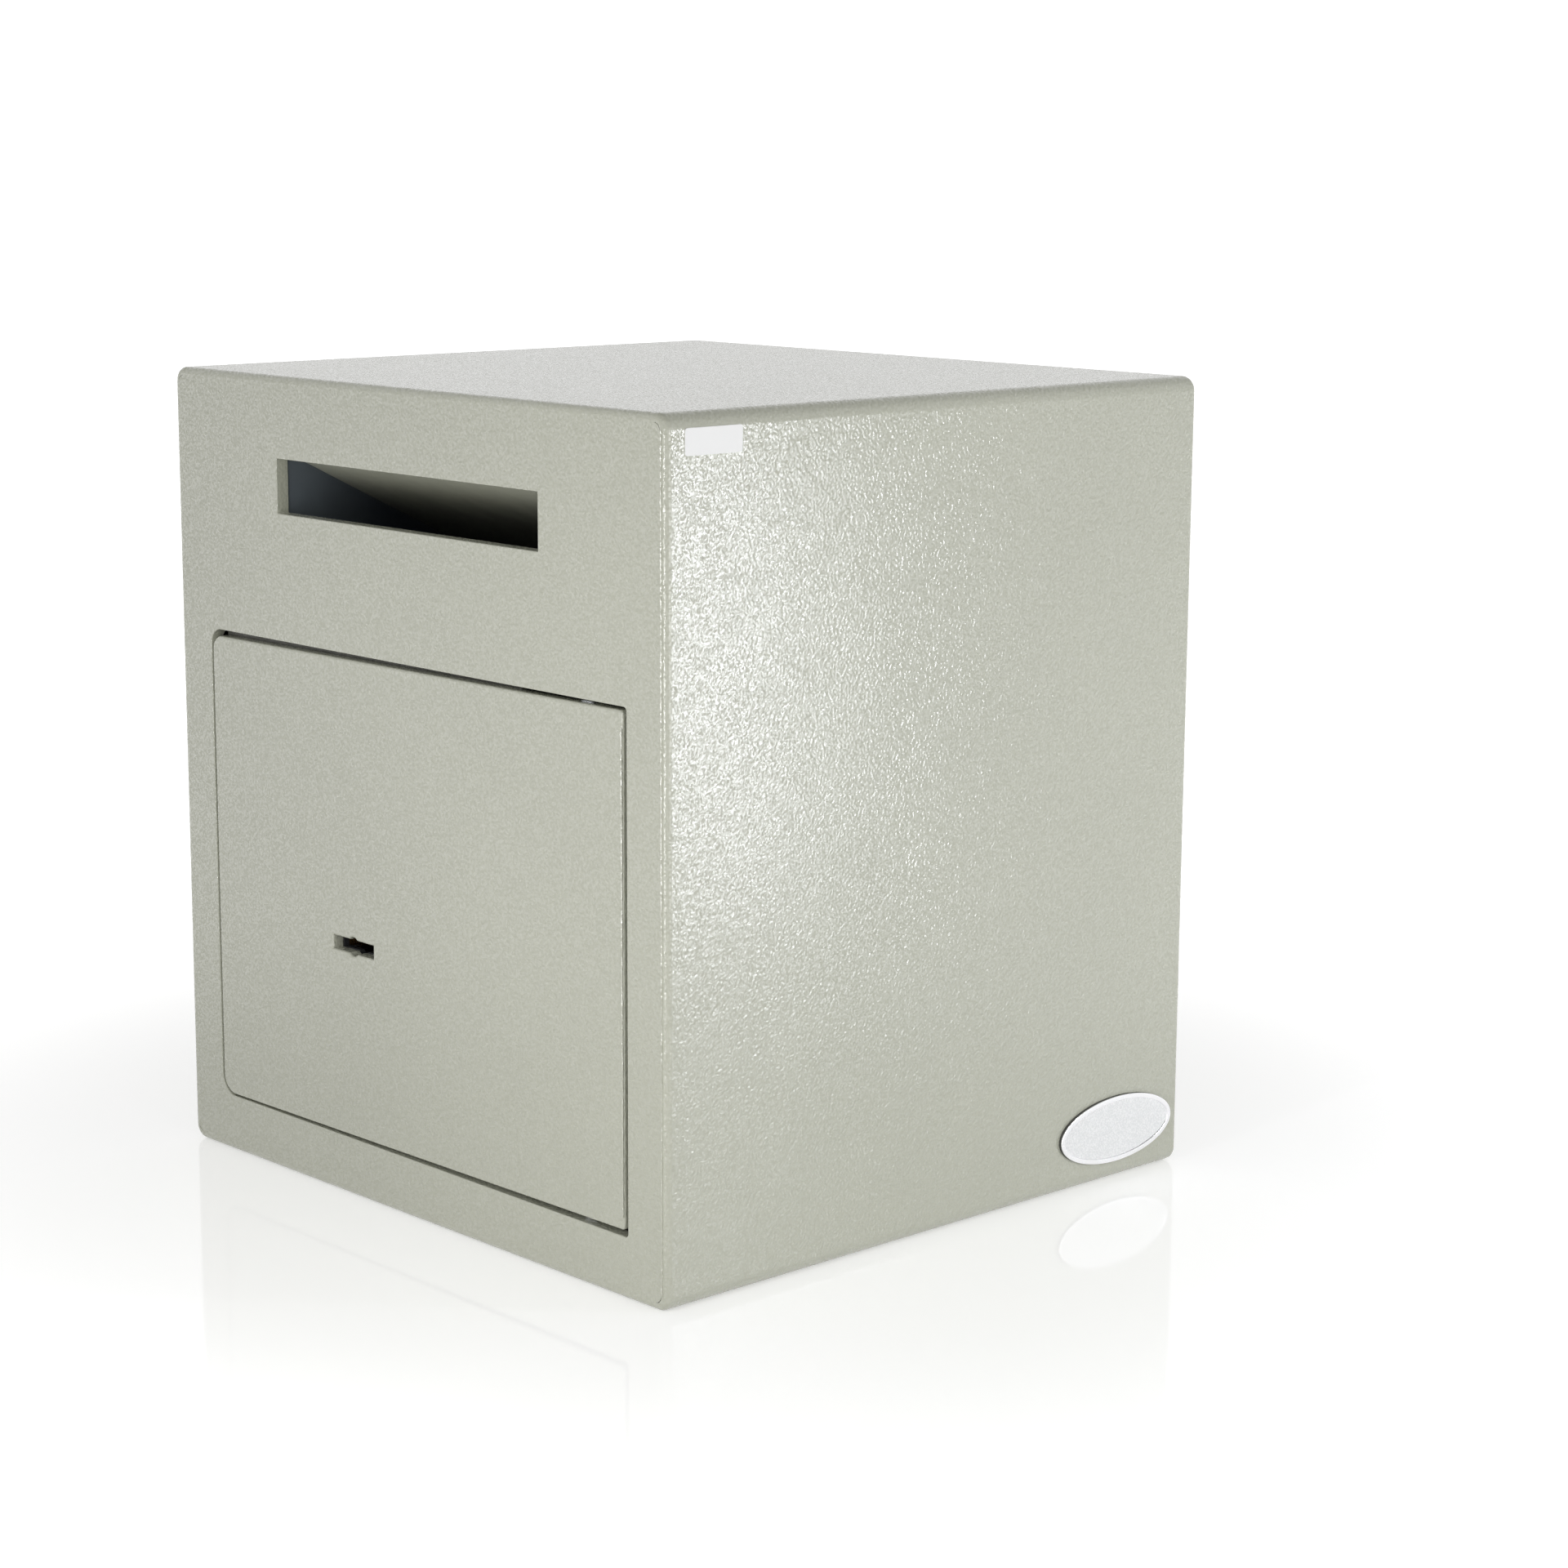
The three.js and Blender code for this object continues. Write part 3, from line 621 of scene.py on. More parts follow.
def block(name: str, low: Vector, high: Vector) -> Piece:
    """Add a box between two corners.

    Args:
        name: Name of the new object.
        low: Lowest corner.
        high: Highest corner.

    Returns:
        The box, its place in its mesh.
    """
    deselect()
    bpy.ops.mesh.primitive_cube_add(size=1.0, location=(low + high) / 2, scale=high - low)
    piece = bpy.context.object
    piece.name = name
    bpy.ops.object.transform_apply(location=True, rotation=True, scale=True)
    return piece


def rod(name: str, start: Vector, end: Vector, radius: float, sides: int) -> Piece:
    """Add a cylinder between two points.

    Args:
        name: Name of the new object.
        start: Centre of one end.
        end: Centre of the other end.
        radius: Its radius.
        sides: Its number of sides.

    Returns:
        The cylinder, its place in its mesh.
    """
    deselect()
    along = end - start
    bpy.ops.mesh.primitive_cylinder_add(vertices=sides, radius=radius, depth=along.length)
    piece = bpy.context.object
    piece.name = name
    turn = along.to_track_quat("Z", "Y").to_matrix().to_4x4()
    piece.matrix_world = Matrix.Translation((start + end) / 2) @ turn
    bpy.ops.object.transform_apply(location=True, rotation=True, scale=True)
    return piece


def round_edges(piece: Piece, wanted: Callable[[Edge], bool], radius: float, segments: int) -> None:
    """Bevel the edges that a test picks.

    Args:
        piece: The mesh object.
        wanted: Says whether an edge is rounded.
        radius: Size of the round.
        segments: Faces across it.
    """
    with editing(piece) as mesh:
        for edge in mesh.edges:
            edge.select_set(wanted(edge))
        bmesh.update_edit_mesh(piece.data)
        bpy.ops.mesh.bevel(offset=radius, segments=segments, affect="EDGES", clamp_overlap=True)


def run_modifier(piece: Piece, kind: str, settings: dict[str, object]) -> None:
    """Add one modifier and apply it.

    Args:
        piece: The mesh object.
        kind: The modifier's type.
        settings: Its properties.
    """
    activate(piece)
    modifier = piece.modifiers.new(kind.lower(), kind)
    for key, value in settings.items():
        setattr(modifier, key, value)
    bpy.ops.object.modifier_apply(modifier=modifier.name)


def cut(piece: Piece, tool: Piece, operation: str = "DIFFERENCE") -> None:
    """Cut one closed mesh with another and drop the tool."""
    run_modifier(piece, "BOOLEAN", {"operation": operation, "object": tool, "solver": "EXACT"})
    bpy.data.objects.remove(tool, do_unlink=True)


def shade(piece: Piece) -> None:
    """Smooth the rounds and keep the flats flat.

    Args:
        piece: The mesh object.
    """
    activate(piece)
    bpy.ops.object.shade_smooth_by_angle(angle=SMOOTH_TURN)
    run_modifier(piece, "WEIGHTED_NORMAL", {"keep_sharp": True, "weight": 100})


def dress(piece: Piece, body: Body, slot: Slot, *materials: Material) -> Piece:
    """Give a new piece its finish and the body that it rides on.

    Args:
        piece: The finished mesh.
        body: The body that carries it.
        slot: The record's slot; not used.
        materials: Its materials, in the order of its face indices.

    Returns:
        The same piece.
    """
    piece.data.materials.clear()
    for material in materials:
        piece.data.materials.append(material)
    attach(piece, body.value)
    return piece


def lies_at(edge: Edge, axis: int, value: float) -> bool:
    """Say whether both ends of an edge lie at one coordinate."""
    return all(abs(vertex.co[axis] - value) < SAME_PLACE for vertex in edge.verts)


def runs_along(edge: Edge, axis: int) -> bool:
    """Say whether an edge runs along one axis."""
    way = edge.verts[1].co - edge.verts[0].co
    return way.length > 0 and abs(way[axis]) > NEARLY_PARALLEL * way.length


def turns_corner(edge: Edge) -> bool:
    """Say whether the faces beside an edge meet at a sharp angle."""
    return len(edge.link_faces) == 2 and edge.calc_face_angle(0.0) > SHARP_TURN


def round_corners(piece: Piece, low: Vector, high: Vector, radii: tuple[float, ...]) -> None:
    """Round the four upright corners of a plate, each with its own radius.

    Args:
        piece: The plate, still a plain box.
        low: Its lowest corner.
        high: Its highest corner.
        radii: Corner radii from lower left, anticlockwise as seen from the front.
    """
    places = [(low.x, low.z), (high.x, low.z), (high.x, high.z), (low.x, high.z)]
    for (x, z), radius in zip(places, radii):
        round_edges(
            piece, lambda edge: lies_at(edge, X_AXIS, x) and lies_at(edge, Z_AXIS, z), radius, segments=8
        )


def paint_ridge(name: str, start: Vector, end: Vector, radius: float) -> Piece:
    """Model a fine, uneven ridge of paint, half sunk in the face that it runs on.

    Args:
        name: Name of the new object, which also seeds its unevenness.
        start: Lower end, on the face.
        end: Upper end, on the face.
        radius: Mean height over the face.

    Returns:
        The ridge, with a flank turned to the side.
    """
    ridge = rod(name, start, end, radius, sides=6)
    length = (end - start).length
    with editing(ridge) as mesh:
        for edge in mesh.edges:
            edge.select_set(edge.calc_length() > length / 2)
        bmesh.update_edit_mesh(ridge.data)
        bpy.ops.mesh.subdivide(number_cuts=round(length / MM))
    rough = random.Random(name)
    swell: dict[int, float] = {}
    along = (end - start).normalized()
    for vertex in ridge.data.vertices:
        travel = (vertex.co - start).dot(along)
        axis_point = start + along * travel
        size = swell.setdefault(round(travel / MM), rough.uniform(THIN_PAINT, THICK_PAINT))
        vertex.co = axis_point + (vertex.co - axis_point) * size
    shade(ridge)
    return ridge


@dataclass
class Cabinet:
    """Wrapped body sheet, inset front plate and rear panel.

    Attributes:
        finishes: The finishes.
        bend: Outer radius of the wrap's bends.
        rim: Round of the wrap's ground front and rear edges.
        slot_half: Half the slot's width.
        slot_span: The slot's bottom and top above the base.
        doorway: Left, right, bottom and top of the door opening.
        corners: Corner radii of the doorway, from lower left, anticlockwise.
        slot_corner: Corner radius of the slot.
        opening_round: Round of paint on the front edges of both openings.
        plate_margin: Width of the plate's border that holds no opening.
        corner_relief: How much tighter the plates' corners are than the bends.
        anchor: Radius of an anchor hole.
        anchor_half: Half the distance between two anchor holes.
        rear_anchor: Height of the anchor holes in the back.
        ridge_height: Height of the paint ridge on the ground edge.
    """

    finishes: Finishes
    bend: float = 5.5 * MM
    rim: float = 2.5 * MM
    slot_half: float = 75 * MM
    slot_span: Pair = (250 * MM, 270 * MM)
    doorway: tuple[float, float, float, float] = (-120 * MM, 120 * MM, 22 * MM, 203 * MM)
    corners: tuple[float, float, float, float] = (8 * MM, 1.5 * MM, 1.5 * MM, 6 * MM)
    slot_corner: float = 0.4 * MM
    opening_round: float = 0.7 * MM
    plate_margin: float = 4 * MM
    corner_relief: float = 2.5 * MM
    anchor: float = 6 * MM
    anchor_half: float = 90 * MM
    rear_anchor: float = 150 * MM
    ridge_height: float = 0.4 * MM

    def build(self) -> list[Piece]:
        """Build and dress the cabinet's painted pieces."""
        return [self.shell(), self.front_plate(), self.rear_panel(), self.ridge()]

    def shell(self) -> Piece:
        """Model the wrapped sheet with its rounded bends and ground rims.

        Returns:
            The dressed shell.
        """
        low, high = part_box("body_shell")
        shell = block("cabinet_shell", low, high)
        round_edges(shell, lambda edge: runs_along(edge, Y_AXIS), self.bend, segments=10)
        ends = (low.y, high.y)
        round_edges(
            shell, lambda edge: any(lies_at(edge, Y_AXIS, end) for end in ends), self.rim, segments=6
        )
        inner_low, inner_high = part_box("front_plate")
        past = Vector((0, PAST_PLATE, 0))
        hollow = block(
            "hollow",
            Vector((inner_low.x, low.y, inner_low.z)) - past,
            Vector((inner_high.x, high.y, inner_high.z)) + past,
        )
        wall = inner_low.z - low.z
        round_edges(hollow, lambda edge: runs_along(edge, Y_AXIS), self.bend - wall, segments=6)
        cut(shell, hollow)
        self.drill_anchors(shell, Vector((0, 0, 0)), Vector((0, 0, PAST_SHEET)))
        shade(shell)
        dress(shell, Body.CABINET, Slot.PAINT, self.finishes.paint)
        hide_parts("body_shell")
        return shell

    def drill_anchors(self, piece: Piece, middle: Vector, reach: Vector) -> None:
        """Drill two anchor holes.

        Args:
            piece: The sheet that they go through.
            middle: The point between them.
            reach: How far the drill runs to either side of the sheet.
        """
        for side in (-1, 1):
            centre = middle + Vector((side * self.anchor_half, 0, 0))
            cut(piece, rod("anchor_hole", centre - reach, centre + reach, self.anchor, sides=32))

    def cut_opening(self, plate: Piece, low: Vector, high: Vector, radii: tuple[float, ...]) -> None:
        """Cut one opening through the front plate.

        Args:
            plate: The front plate.
            low: Lowest corner of the opening.
            high: Highest corner.
            radii: Corner radii from lower left, anticlockwise as seen from the front.
        """
        past = Vector((0, PAST_PLATE, 0))
        tool = block("opening_tool", low - past, high + past)
        round_corners(tool, low, high, radii)
        cut(plate, tool)

    def front_plate(self) -> Piece:
        """Model the face with the slot and the door opening, their edges soft with paint.

        Returns:
            The dressed plate.
        """
        low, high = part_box("front_plate")
        plate = block("face_plate", low, high)
        plate_corner = self.bend - self.corner_relief
        round_edges(plate, lambda edge: runs_along(edge, Y_AXIS), plate_corner, segments=4)
        left, right, bottom, top = self.doorway
        self.cut_opening(plate, Vector((left, low.y, bottom)), Vector((right, high.y, top)), self.corners)
        base, roof = self.slot_span
        slot_low = Vector((-self.slot_half, low.y, base))
        slot_high = Vector((self.slot_half, high.y, roof))
        self.cut_opening(plate, slot_low, slot_high, (self.slot_corner,) * 4)
        margin = self.plate_margin

        def is_opening_rim(edge: Edge) -> bool:
            """Pick the front edges of both openings.

            Args:
                edge: An edge of the plate.

            Returns:
                Whether it is one of them.
            """
            middle = (edge.verts[0].co + edge.verts[1].co) / 2
            within = abs(middle.x) < high.x - margin and low.z + margin < middle.z < high.z - margin
            return within and lies_at(edge, Y_AXIS, low.y) and turns_corner(edge)

        round_edges(plate, is_opening_rim, self.opening_round, segments=4)
        shade(plate)
        dress(plate, Body.CABINET, Slot.PAINT, self.finishes.paint)
        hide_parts("front_plate")
        return plate

    def rear_panel(self) -> Piece:
        """Model the welded back with its anchor holes.

        Returns:
            The dressed panel.
        """
        low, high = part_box("rear_panel")
        panel = block("back_panel", low, high)
        plate_corner = self.bend - self.corner_relief
        round_edges(panel, lambda edge: runs_along(edge, Y_AXIS), plate_corner, segments=4)
        self.drill_anchors(panel, Vector((0, high.y, self.rear_anchor)), Vector((0, PAST_SHEET, 0)))
        shade(panel)
        dress(panel, Body.CABINET, Slot.PAINT, self.finishes.paint)
        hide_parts("rear_panel")
        return panel

    def ridge(self) -> Piece:
        """Lay the fine ridge of thick paint along the ground edge on the right.

        Returns:
            The dressed ridge.
        """
        low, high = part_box("body_shell")
        x = high.x - self.rim
        foot = Vector((x, low.y, low.z + self.bend))
        head = Vector((x, low.y, high.z - self.bend))
        ridge = paint_ridge("edge_ridge", foot, head, self.ridge_height)
        return dress(ridge, Body.CABINET, Slot.PAINT, self.finishes.paint)


@dataclass
class Door:
    """Flush door plate with its keyhole.

    Attributes:
        finishes: The finishes.
        sag_top: How much lower the free end of the top edge stands.
        sag_bottom: The same for the bottom edge.
        corners: Corner radii from lower left, anticlockwise.
        key: Centre of the keyhole, X and Z.
        keyhole: Length, height and bulge of the keyhole.
        front_round: Round of paint on the front edges.
        back_round: Round of the back edges.
        ridge_inset: Distance of the paint ridge from the hinge-side edge.
        ridge_end: How far the ridge stops short of the door's ends.
        ridge_height: Height of the ridge.
    """

    finishes: Finishes
    sag_top: float = 1.3 * MM
    sag_bottom: float = 1.5 * MM
    corners: tuple[float, float, float, float] = (7.2 * MM, 1.5 * MM, 1.5 * MM, 5.2 * MM)
    key: Pair = (-33.5 * MM, 95 * MM)
    keyhole: Triple = (24.5 * MM, 5 * MM, 7 * MM)
    front_round: float = 0.9 * MM
    back_round: float = 0.6 * MM
    ridge_inset: float = 0.6 * MM
    ridge_end: float = 6 * MM
    ridge_height: float = 0.45 * MM

    def build(self) -> list[Piece]:
        """Build and dress the door plate.

        Returns:
            The plate and its ridge of paint.
        """
        low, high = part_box("door_plate")
        plate = block("door_face", low, high)
        round_corners(plate, low, high, self.corners)
        width = high.x - low.x
        middle = (low.z + high.z) / 2
        for vertex in plate.data.vertices:
            at_free = (high.x - vertex.co.x) / width
            if vertex.co.z > middle:
                vertex.co.z -= self.sag_top * at_free
            else:
                vertex.co.z += self.sag_bottom * (1 - at_free)
        self.cut_keyhole(plate, low.y, high.y)
        for face_y, radius, segments in ((low.y, self.front_round, 5), (high.y, self.back_round, 2)):
            round_edges(
                plate, lambda edge: lies_at(edge, Y_AXIS, face_y) and turns_corner(edge), radius, segments
            )
        shade(plate)
        dress(plate, Body.DOOR, Slot.PAINT, self.finishes.paint)
        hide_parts("door_plate")
        x = high.x - self.ridge_inset
        foot = Vector((x, low.y, low.z + self.ridge_end))
        head = Vector((x, low.y, high.z - self.ridge_end))
        ridge = paint_ridge("door_edge_ridge", foot, head, self.ridge_height)
        return [plate, dress(ridge, Body.DOOR, Slot.PAINT, self.finishes.paint)]

    def cut_keyhole(self, plate: Piece, front: float, back: float) -> None:
        """Cut the long slot and its round middle through the plate.

        Args:
            plate: The door plate.
            front: Y of its front face.
            back: Y of its back face.
        """
        x, z = self.key
        length, height, bulge = self.keyhole
        start, end = front - PAST_KEYHOLE, back + PAST_KEYHOLE
        tool = block(
            "keyhole_tool",
            Vector((x - length / 2, start, z - height / 2)),
            Vector((x + length / 2, end, z + height / 2)),
        )
        stem = rod("stem_tool", Vector((x, start, z)), Vector((x, end, z)), bulge / 2, sides=40)
        cut(tool, stem, "UNION")
        cut(plate, tool)


@dataclass
class SideMarks:
    """The blank oval badge and the blank label on the right side.

    Attributes:
        finishes: The finishes.
        swell: How far the rim's crest stands over the badge's upright wall.
        recess: How deep the field lies below the crest.
        profile: Steps across the rim from outside, each inward and up, in millimetres.
        label_corner: Corner radius of the label.
        label_edge: Round of its cut edge.
    """

    finishes: Finishes
    swell: float = 0.3 * MM
    recess: float = 0.4 * MM
    profile: tuple[Pair, ...] = (
        (0.04, 0.15), (0.11, 0.11), (0.15, 0.04), (1.3, 0.0), (0.15, -0.04), (0.13, -0.13), (0.12, -0.23),
    )
    label_corner: float = 1.0 * MM
    label_edge: float = 0.1 * MM

    def build(self) -> list[Piece]:
        """Build and dress both."""
        return [self.badge(), self.label()]

    def badge(self) -> Piece:
        """Model an oval plate with a raised bright rim round a frosted field.

        Returns:
            The dressed badge.
        """
        low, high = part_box("side_badge")
        crest = high.x
        high.x -= self.swell
        size = high - low
        deselect()
        bpy.ops.mesh.primitive_cylinder_add(
            vertices=96, radius=0.5, depth=1.0, rotation=(0, math.pi / 2, 0)
        )
        badge = bpy.context.object
        badge.name = "oval_badge"
        bpy.ops.object.transform_apply(location=True, rotation=True, scale=True)
        for vertex in badge.data.vertices:
            vertex.co = (low + high) / 2 + Vector(a * b for a, b in zip(vertex.co, size))
        with editing(badge, "FACE") as mesh:
            mesh.faces.ensure_lookup_table()
            front = max(mesh.faces, key=lambda face: face.calc_center_median().x * (len(face.verts) > 4))
            front.select_set(True)
            bmesh.update_edit_mesh(badge.data)
            for inward, up in self.profile:
                bpy.ops.mesh.inset(thickness=inward * MM, depth=up * MM)
        shade(badge)
        dress(badge, Body.CABINET, Slot.BADGE, self.finishes.rim, self.finishes.frost, self.finishes.pad)
        floor = crest - self.recess
        for face in badge.data.polygons:
            is_field = len(face.vertices) > 4 and abs(face.center.x - floor) < SAME_PLACE
            # Upright faces take the dark pad, which also paints the shadow at the badge's edge.
            is_pad_in_shadow = abs(face.normal.x) < UPRIGHT
            face.material_index = 1 if is_field else 2 if is_pad_in_shadow else 0
        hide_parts("side_badge")
        return badge

    def label(self) -> Piece:
        """Model the small film label with round corners.

        Returns:
            The dressed label.
        """
        low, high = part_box("side_label")
        label = block("blank_label", low, high)
        round_edges(label, lambda edge: runs_along(edge, X_AXIS), self.label_corner, segments=6)
        round_edges(
            label,
            lambda edge: lies_at(edge, X_AXIS, high.x) and turns_corner(edge),
            self.label_edge,
            segments=2,
        )
        shade(label)
        dress(label, Body.CABINET, Slot.LABEL, self.finishes.film)
        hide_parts("side_label")
        return label


@dataclass
class LeverSpring:
    """The leaf that presses the levers down; the real leaf flattens as a key lifts them, and here it keeps
    its resting curve.

    Attributes:
        finishes: The finishes.
        thickness: Thickness of the leaf.
        spans: Flats along its curve.
        kept: Share of its height that is left at full lift; not used.
        edge: Round of its sheared edges.
    """

    finishes: Finishes
    thickness: float = 0.5 * MM
    spans: int = 24
    kept: float = 0.77
    edge: float = 0.08 * MM

    def build(self) -> list[Piece]:
        """Bend a strip to the leaf's curve and give it its thickness.

        Returns:
            The dressed leaf, alone in its list.
        """
        low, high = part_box("lever_spring")
        middle = (low + high) / 2
        half = (high - low) / 2 - Vector.Fill(3, self.thickness / 2)
        deselect()
        bpy.ops.mesh.primitive_grid_add(x_subdivisions=self.spans, y_subdivisions=1, size=2.0)
        leaf = bpy.context.object
        leaf.name = "lever_leaf"
        for vertex in leaf.data.vertices:
            along, across = vertex.co.x, vertex.co.y
            rise = (2 * along * along - 1) * half.z
            vertex.co = middle + Vector((along * half.x, across * (high.y - low.y) / 2, rise))
        thickness = {"thickness": self.thickness, "offset": 0.0, "use_even_offset": True}
        run_modifier(leaf, "SOLIDIFY", thickness)
        run_modifier(leaf, "BEVEL", {"width": self.edge, "segments": 2, "limit_method": "ANGLE"})
        shade(leaf)
        dress(leaf, Body.DOOR, Slot.ZINC, self.finishes.zinc)
        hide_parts("lever_spring")
        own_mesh(leaf)
        return [leaf]


@dataclass
class Fittings:
    """Pieces whose own solids are kept: chute, hinges, bolts and lock.

    Attributes:
        finishes: The finishes.
    """

    finishes: Finishes

    def build(self, nodes: dict[str, Piece]) -> None:
        """Give each kept node its finish.

        Args:
            nodes: The frame's nodes by name.
        """
        # The frame's painted parts inside take the dark primer that also paints the shade in the door's gaps.
        by_slot = {
            Slot.PAINT.value: self.finishes.primer_and_gap_shade,
            Slot.CHUTE.value: self.finishes.chute,
            Slot.CHEEK.value: self.finishes.cheek,
            Slot.STEEL.value: self.finishes.steel,
            Slot.ZINC.value: self.finishes.zinc,
            Slot.BRASS.value: self.finishes.brass,
            Slot.CASE.value: self.finishes.case,
            Slot.BADGE.value: self.finishes.rim,
            Slot.LABEL.value: self.finishes.film,
        }
        for part in frame["record"]["subparts"]:
            node = nodes[part["node"]]
            node.data.materials.clear()
            finish = by_slot[part["material_slot"]]
            # The follower takes the darkened steel that paints the keyhole's shade.
            if part["node"] == "key_follower":
                finish = self.finishes.keyhole_shade
            node.data.materials.append(finish)


@dataclass(frozen=True)
class Lamp:
    """One soft box.

    Attributes:
        name: Its name.
        place: Where it hangs, in metres.
        aim: The point that it faces.
        size: Its width and height.
        power: Watts.
        tint: Colour of its light.
    """

    name: str
    place: Triple
    aim: Triple
    size: Pair
    power: float
    tint: Colour = (1.0, 1.0, 1.0)

    def hang(self) -> None:
        """Add the lamp, out of the camera's sight."""
        data = bpy.data.lights.new(self.name, "AREA")
        data.shape = "RECTANGLE"
        data.size, data.size_y = self.size
        data.energy = self.power
        data.color = self.tint
        lamp = bpy.data.objects.new(self.name, data)
        lamp.visible_camera = False
        bpy.context.scene.collection.objects.link(lamp)
        place = Vector(self.place)
        turn = (Vector(self.aim) - place).to_track_quat("-Z", "Y").to_matrix().to_4x4()
        lamp.matrix_world = Matrix.Translation(place) @ turn


# Middle of the safe, and the lamps in the order that they are hung
MIDDLE: Triple = (0.0, 0.0, 0.15)
LAMPS: tuple[Lamp, ...] = (
    Lamp("glare_strip", (0.62, 0.3, 0.125), (0.14, -0.1, 0.12), (0.03, 0.29), 0.8, (0.93, 0.95, 1.0)),
    Lamp("edge_strip", (0.22, -0.53, 0.15), (0.14, -0.13, 0.14), (0.022, 0.26), 0.6),
    Lamp("side_box", (1.3, 0.0, 0.05), MIDDLE, (0.5, 0.2), 2.0),
    Lamp("top_box", (0.2, -0.2, 2.2), MIDDLE, (2.2, 2.2), 1.75),
    Lamp("front_box", (0.95, -1.4, 0.85), MIDDLE, (1.6, 1.6), 1.05),
)


@dataclass(frozen=True)
class PhotoCamera:
    """The photograph's camera.

    Attributes:
        eye: Its position.
        turn: Its heading to the left of +Y, in radians.
        drop: Its pitch below the horizon, in radians.
        roll: Its roll, in radians.
        lens: Focal length in millimetres.
        frame_width: Width of the frame that the lens is given for.
        near: Nearest distance that it sees.
    """

    eye: Triple = (0.96168, -0.84962, 0.39074)
    turn: float = 0.816679
    drop: float = 0.190104
    roll: float = 0.005132
    lens: float = 78.87
    frame_width: float = 36.0
    near: float = 0.01

    def build(self, scene: bpy.types.Scene) -> None:
        """Place the camera and look through it.

        Args:
            scene: The scene.
        """
        data = bpy.data.cameras.new("photo_camera")
        data.lens = self.lens
        data.sensor_width = self.frame_width
        data.clip_start = self.near
        camera = bpy.data.objects.new("photo_camera", data)
        scene.collection.objects.link(camera)
        heading = Matrix.Rotation(self.turn, 4, "Z") @ Matrix.Rotation(math.pi / 2 - self.drop, 4, "X")
        camera.matrix_world = Matrix.Translation(self.eye) @ heading @ Matrix.Rotation(self.roll, 4, "Z")
        scene.camera = camera


@dataclass(frozen=True)
class Backdrop:
    """White surroundings, darker overhead than at the horizon.

    Attributes:
        even: Light from every side.
        ring: Light added near the horizon.
        ring_top: Height at which the ring starts to fade, as the sine of its angle.
        ring_fade: Width over which it fades.
        ring_bend: How fast it fades.
        mirrored: Light added to the ring where a glossy surface shows it.
    """

    even: float = 0.17
    ring: float = 0.6
    ring_top: float = 0.45
    ring_fade: float = 0.65
    ring_bend: float = 2.0
    mirrored: float = 0.15

    def build(self, scene: bpy.types.Scene) -> None:
        """Fill with even light, and show white to the camera and in reflections.

        Args:
            scene: The scene.
        """
        scene.world = bpy.data.worlds.new("studio")
        graph = Graph(scene.world)
        way = graph.node("ShaderNodeTexCoord", {}, {}).outputs["Generated"]
        ring = (1 - graph.part(way, Z_AXIS).above(self.ring_top, self.ring_fade)) ** self.ring_bend
        in_mirror = graph.ray("Is Glossy Ray") + graph.ray("Is Transmission Ray")
        shown = graph.ray("Is Camera Ray") + in_mirror * ring * self.mirrored
        strength = shown + ring * self.ring + self.even
        white = (1.0, 1.0, 1.0, 1.0)
        graph.close(graph.node("ShaderNodeBackground", {}, {"Color": white, "Strength": strength}))


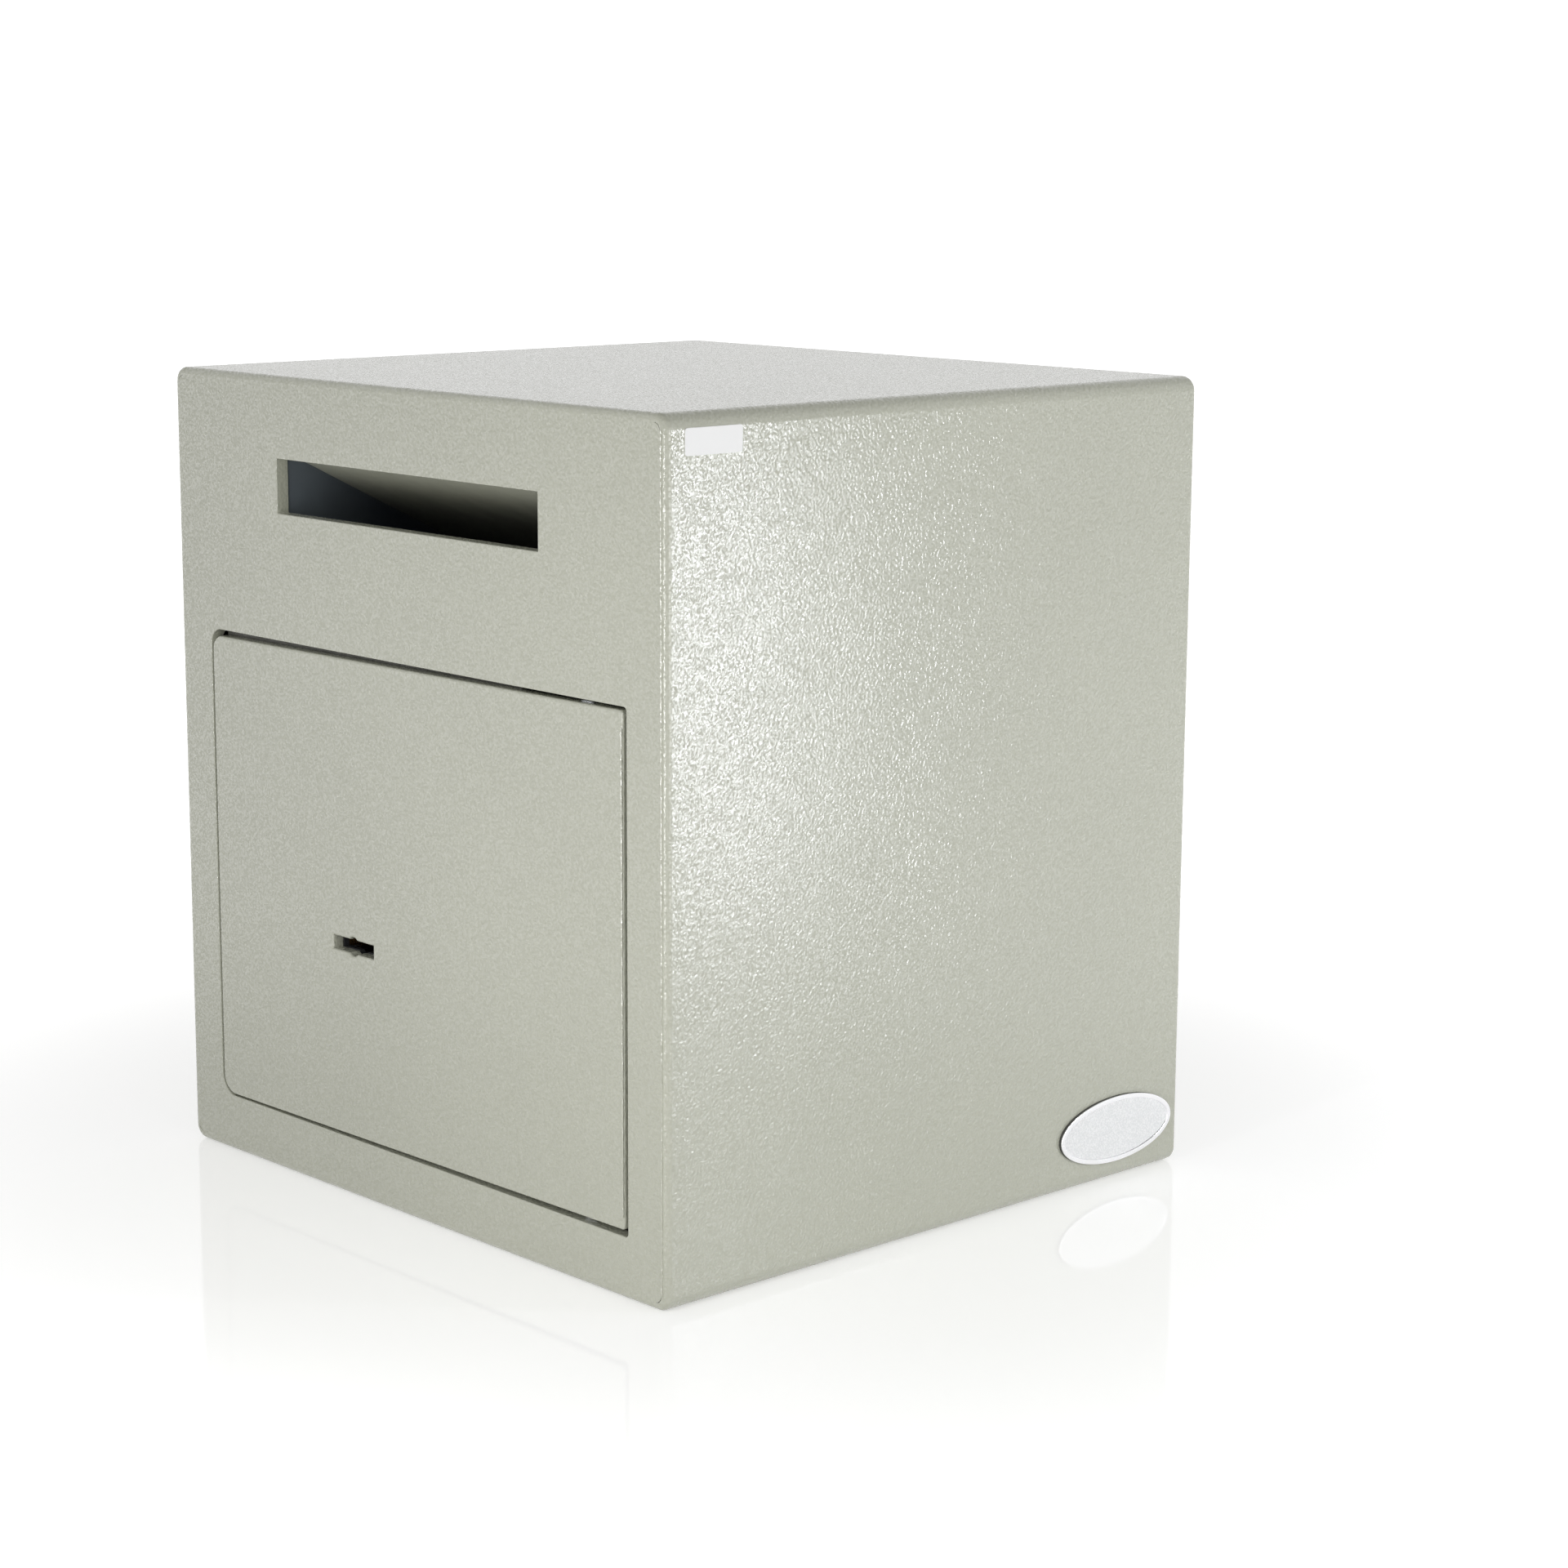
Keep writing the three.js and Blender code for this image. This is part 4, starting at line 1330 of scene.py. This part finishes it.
@dataclass(frozen=True)
class Floor:
    """White floor that keeps the shadow and a faint mirror image.

    Attributes:
        size: Its side.
        gap: How far it lies under the safe.
        paint: Its grey.
        glow: White that the camera sees on top, near the safe.
        far_glow: White added further out, where the floor meets the backdrop.
        clear_start: Distance from the safe's middle at which the floor starts to clear.
        clear_width: Distance over which it clears.
        polish: Share of the mirror image.
        polish_roughness: Its roughness.
    """

    size: float = 30.0
    gap: float = 0.2 * MM
    paint: float = 0.9
    glow: float = 0.51
    far_glow: float = 0.6
    clear_start: float = 0.2
    clear_width: float = 0.45
    polish: float = 0.2
    polish_roughness: float = 0.06

    def build(self) -> None:
        """Lay the floor."""
        deselect()
        bpy.ops.mesh.primitive_plane_add(size=self.size, location=(0, 0, -self.gap))
        floor = bpy.context.object
        floor.name = "studio_floor"
        graph = Graph.of_material("studio_floor")
        reach = graph.node("ShaderNodeVectorMath", {"operation": "LENGTH"}, {0: graph.place})
        clear = Signal(graph, reach.outputs["Value"]).above(self.clear_start, self.clear_width)
        seen = graph.ray("Is Camera Ray") + graph.ray("Is Glossy Ray") + graph.ray("Is Transmission Ray")
        glow = seen * (clear * self.far_glow + self.glow)
        grey = (self.paint, self.paint, self.paint, 1.0)
        matt = graph.node("ShaderNodeBsdfDiffuse", {}, {"Color": grey})
        light = graph.node("ShaderNodeEmission", {}, {"Strength": glow})
        lit = graph.node("ShaderNodeAddShader", {}, {0: matt.outputs[0], 1: light.outputs[0]})
        mirror = graph.node("ShaderNodeBsdfGlossy", {}, {"Roughness": self.polish_roughness})
        shaders: Inputs = {0: self.polish, 1: lit.outputs[0], 2: mirror.outputs[0]}
        graph.close(graph.node("ShaderNodeMixShader", {}, shaders))
        floor.data.materials.append(graph.owner)


def build_studio(scene: bpy.types.Scene) -> None:
    """Set up the view, the camera, two strips and three boxes of light, the backdrop and the floor.

    Args:
        scene: The scene.
    """
    scene.view_settings.view_transform = "Standard"
    PhotoCamera().build(scene)
    for lamp in LAMPS:
        lamp.hang()
    Backdrop().build(scene)
    Floor().build()


def main() -> None:
    """Dress the safe in order and light it."""
    logging.basicConfig(level=logging.INFO, format="%(message)s")
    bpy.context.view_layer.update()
    build_studio(bpy.context.scene)
    finishes = Finishes()
    Fittings(finishes).build(frame["nodes"])
    for assembly in (Cabinet(finishes), Door(finishes), SideMarks(finishes), LeverSpring(finishes)):
        for piece in assembly.build():
            faces = len(piece.data.polygons)
            log.info("%s: %s has %d faces", type(assembly).__name__, piece.name, faces)


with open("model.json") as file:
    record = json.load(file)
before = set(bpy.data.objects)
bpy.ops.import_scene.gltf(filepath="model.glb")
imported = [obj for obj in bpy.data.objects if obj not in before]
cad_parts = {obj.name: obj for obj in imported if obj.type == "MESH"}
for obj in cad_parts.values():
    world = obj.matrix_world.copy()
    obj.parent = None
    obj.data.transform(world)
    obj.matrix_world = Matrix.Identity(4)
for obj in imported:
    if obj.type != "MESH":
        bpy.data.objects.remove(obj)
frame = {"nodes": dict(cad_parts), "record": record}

if __name__ == "__main__":
    main()
